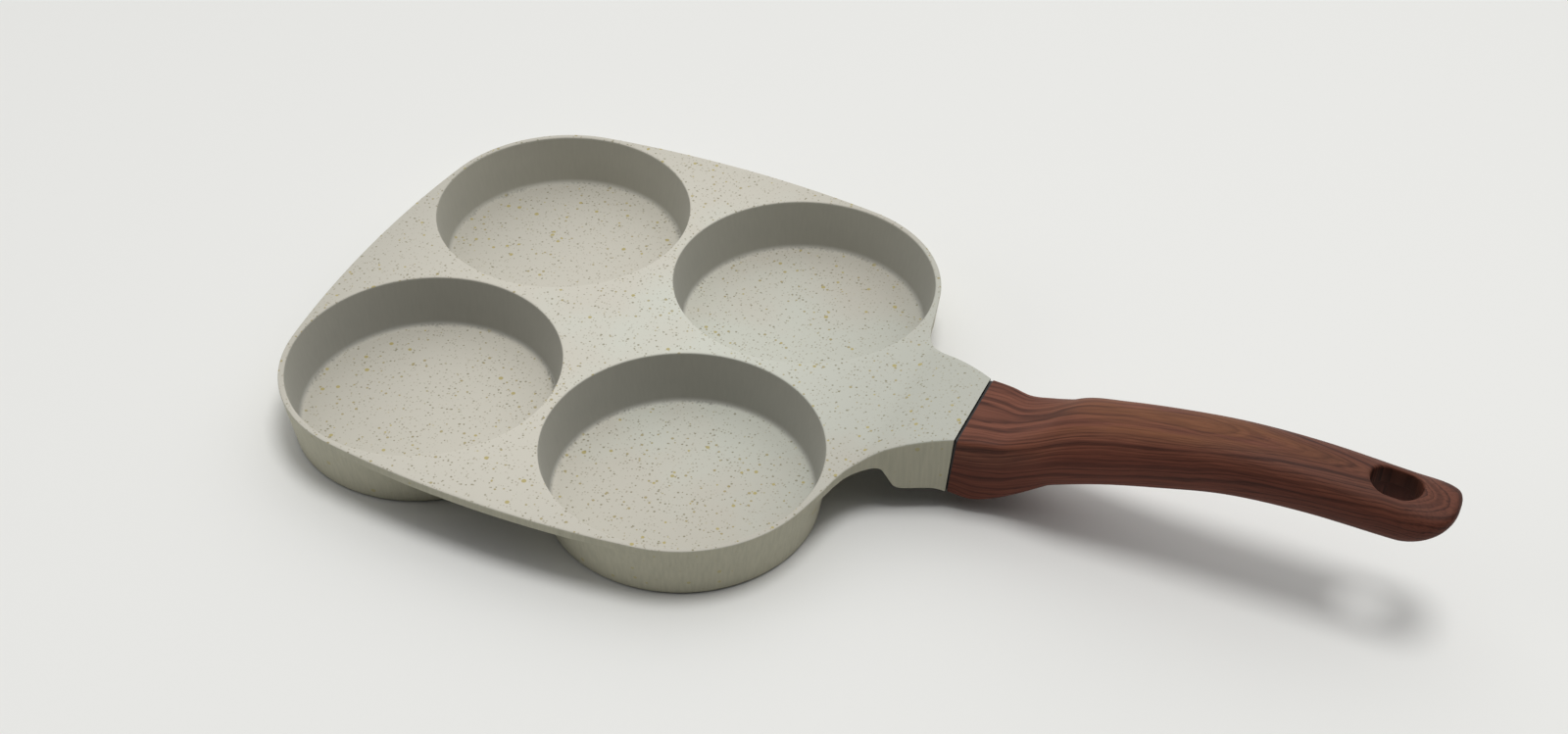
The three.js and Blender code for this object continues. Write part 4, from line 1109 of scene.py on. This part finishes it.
# Screw and washers
# A pan-head machine screw of zinc-plated steel with a crossed recess, a plain washer and a split spring
# washer under its head. It goes up through the handle's pocket into the tang.
HEAD_RADIUS = 3.9
HEAD_HEIGHT = 2.5
RECESS_WIDTH = 1.0
RECESS_LENGTH = 4.4
RECESS_DEPTH = 1.4
RECESS_END_SLOPE, RECESS_SIDE_SLOPE = 0.3, 0.15  # their lengths in plan
SCREW_TIP = 0.6
SCREW_ENGAGEMENT = 7.5
WASHER_RADIUS = 4.5
WASHER_THICKNESS = 0.9
SPRING_WASHER_RADIUS = 3.8
SPRING_WASHER_THICKNESS = 1.0
SPRING_WASHER_SPLIT = 0.8
STACK_GAP = 0.1
METAL_EDGE = 0.12
EDGE_STEPS = {"steps": 3, "support": 0.05}
TURN_POINTS, SPLIT_POINTS, FACE_POINTS, DOME_POINTS = 65, 61, 30, 9
CLOUDY_SIZE = 1.2
washer_top = SEAT_Z - STACK_GAP
washer_foot = washer_top - WASHER_THICKNESS
spring_top = washer_foot - STACK_GAP
spring_foot = spring_top - SPRING_WASHER_THICKNESS
head_top = spring_foot - STACK_GAP
head_foot = head_top - HEAD_HEIGHT
screw_tip_z = SEAT_Z + SCREW_SEAT_WALL + TANG_CLEARANCE + SCREW_ENGAGEMENT
full_turn = np.linspace(0, 2 * np.pi, TURN_POINTS)


def ring_path(inner, outer, low, high):
    """The section of a flat ring with eased edges, from the middle of its bore and back to it."""
    corners = [(inner, high), (outer, high), (outer, low), (inner, low)]
    start = (inner, (low + high) / 2)
    return rounded([start, *corners, start], [METAL_EDGE] * 4, **EDGE_STEPS)


def bar_depth(lengthwise, crosswise):
    """Share of the recess's depth in one of its bars: full inside, sloping up to its ends and sides."""
    end = np.clip((RECESS_LENGTH / 2 - np.abs(lengthwise)) / RECESS_END_SLOPE, 0, 1)
    side = np.clip((RECESS_WIDTH / 2 - np.abs(crosswise)) / RECESS_SIDE_SLOPE, 0, 1)
    return np.minimum(end, side)


# Head face: rings out from the axis, sunk by the recess's depth inside either of two crossed bars
face_radius = np.linspace(0, HEAD_RADIUS - HEAD_HEIGHT / 2, FACE_POINTS)[:, None]
face_x, face_y = face_radius * np.cos(full_turn), face_radius * np.sin(full_turn)
sunk = np.maximum(bar_depth(face_x, face_y), bar_depth(face_y, face_x))
head_face = np.stack((face_x, face_y, head_foot + RECESS_DEPTH * sunk), -1)
dome_turn = np.linspace(0, np.pi / 2, DOME_POINTS)
dome = np.stack((np.sin(dome_turn), 1 - np.cos(dome_turn)), -1) * HEAD_HEIGHT / 2
dome += (HEAD_RADIUS - HEAD_HEIGHT / 2, head_foot)
head_corners = [(HEAD_RADIUS, head_foot + HEAD_HEIGHT / 2), (HEAD_RADIUS, head_top)]
shank_corners = [(SCREW_RADIUS, head_top), (SCREW_RADIUS, screw_tip_z - SCREW_TIP)]
tip_corners = [(SCREW_RADIUS - SCREW_TIP, screw_tip_z), (0, screw_tip_z)]
shank = rounded(head_corners + shank_corners + tip_corners, [METAL_EDGE, METAL_EDGE, 0, 0], **EDGE_STEPS)
screw_grids = [head_face, revolved(dome, full_turn), revolved(shank, full_turn)]
washer_ring = revolved(ring_path(screw_hole, WASHER_RADIUS, washer_foot, washer_top), full_turn)
half_split = SPRING_WASHER_SPLIT / (2 * SPRING_WASHER_RADIUS)
split_turn = np.linspace(half_split, 2 * np.pi - half_split, SPLIT_POINTS)
spring_ring = revolved(ring_path(screw_hole, SPRING_WASHER_RADIUS, spring_foot, spring_top), split_turn)
spring_grids = [spring_ring]
for end in (spring_ring[:, 0], spring_ring[:, -1]):
    spring_grids.append(between(end, 0 * end + end[:-1].mean(0), (0, 1)))

# Zinc-plated steel, bright grey and a little cloudy, and spring steel, which is darker and duller.
ZINC = (("#9a9a98", "#c6c6c2"), (0.25, 0.42))
SPRING_STEEL = (("#6c6e6e", "#8c8e8e"), (0.35, 0.5))
for name, node, slot, grids, look in (
    ("screw", "handle_screw", "plated_steel", screw_grids, ZINC),
    ("washer", "plain_washer", "plated_steel", [washer_ring], ZINC),
    ("split_washer", "spring_washer", "spring_steel", spring_grids, SPRING_STEEL),
):
    metal = mottled(f"{slot}_{name}", CLOUDY_SIZE, *look, FINE_DETAIL, 1.0)
    fixing = joined(name, [grid + (SCREW_X, 0, 0) for grid in grids], [metal])
    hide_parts(node)
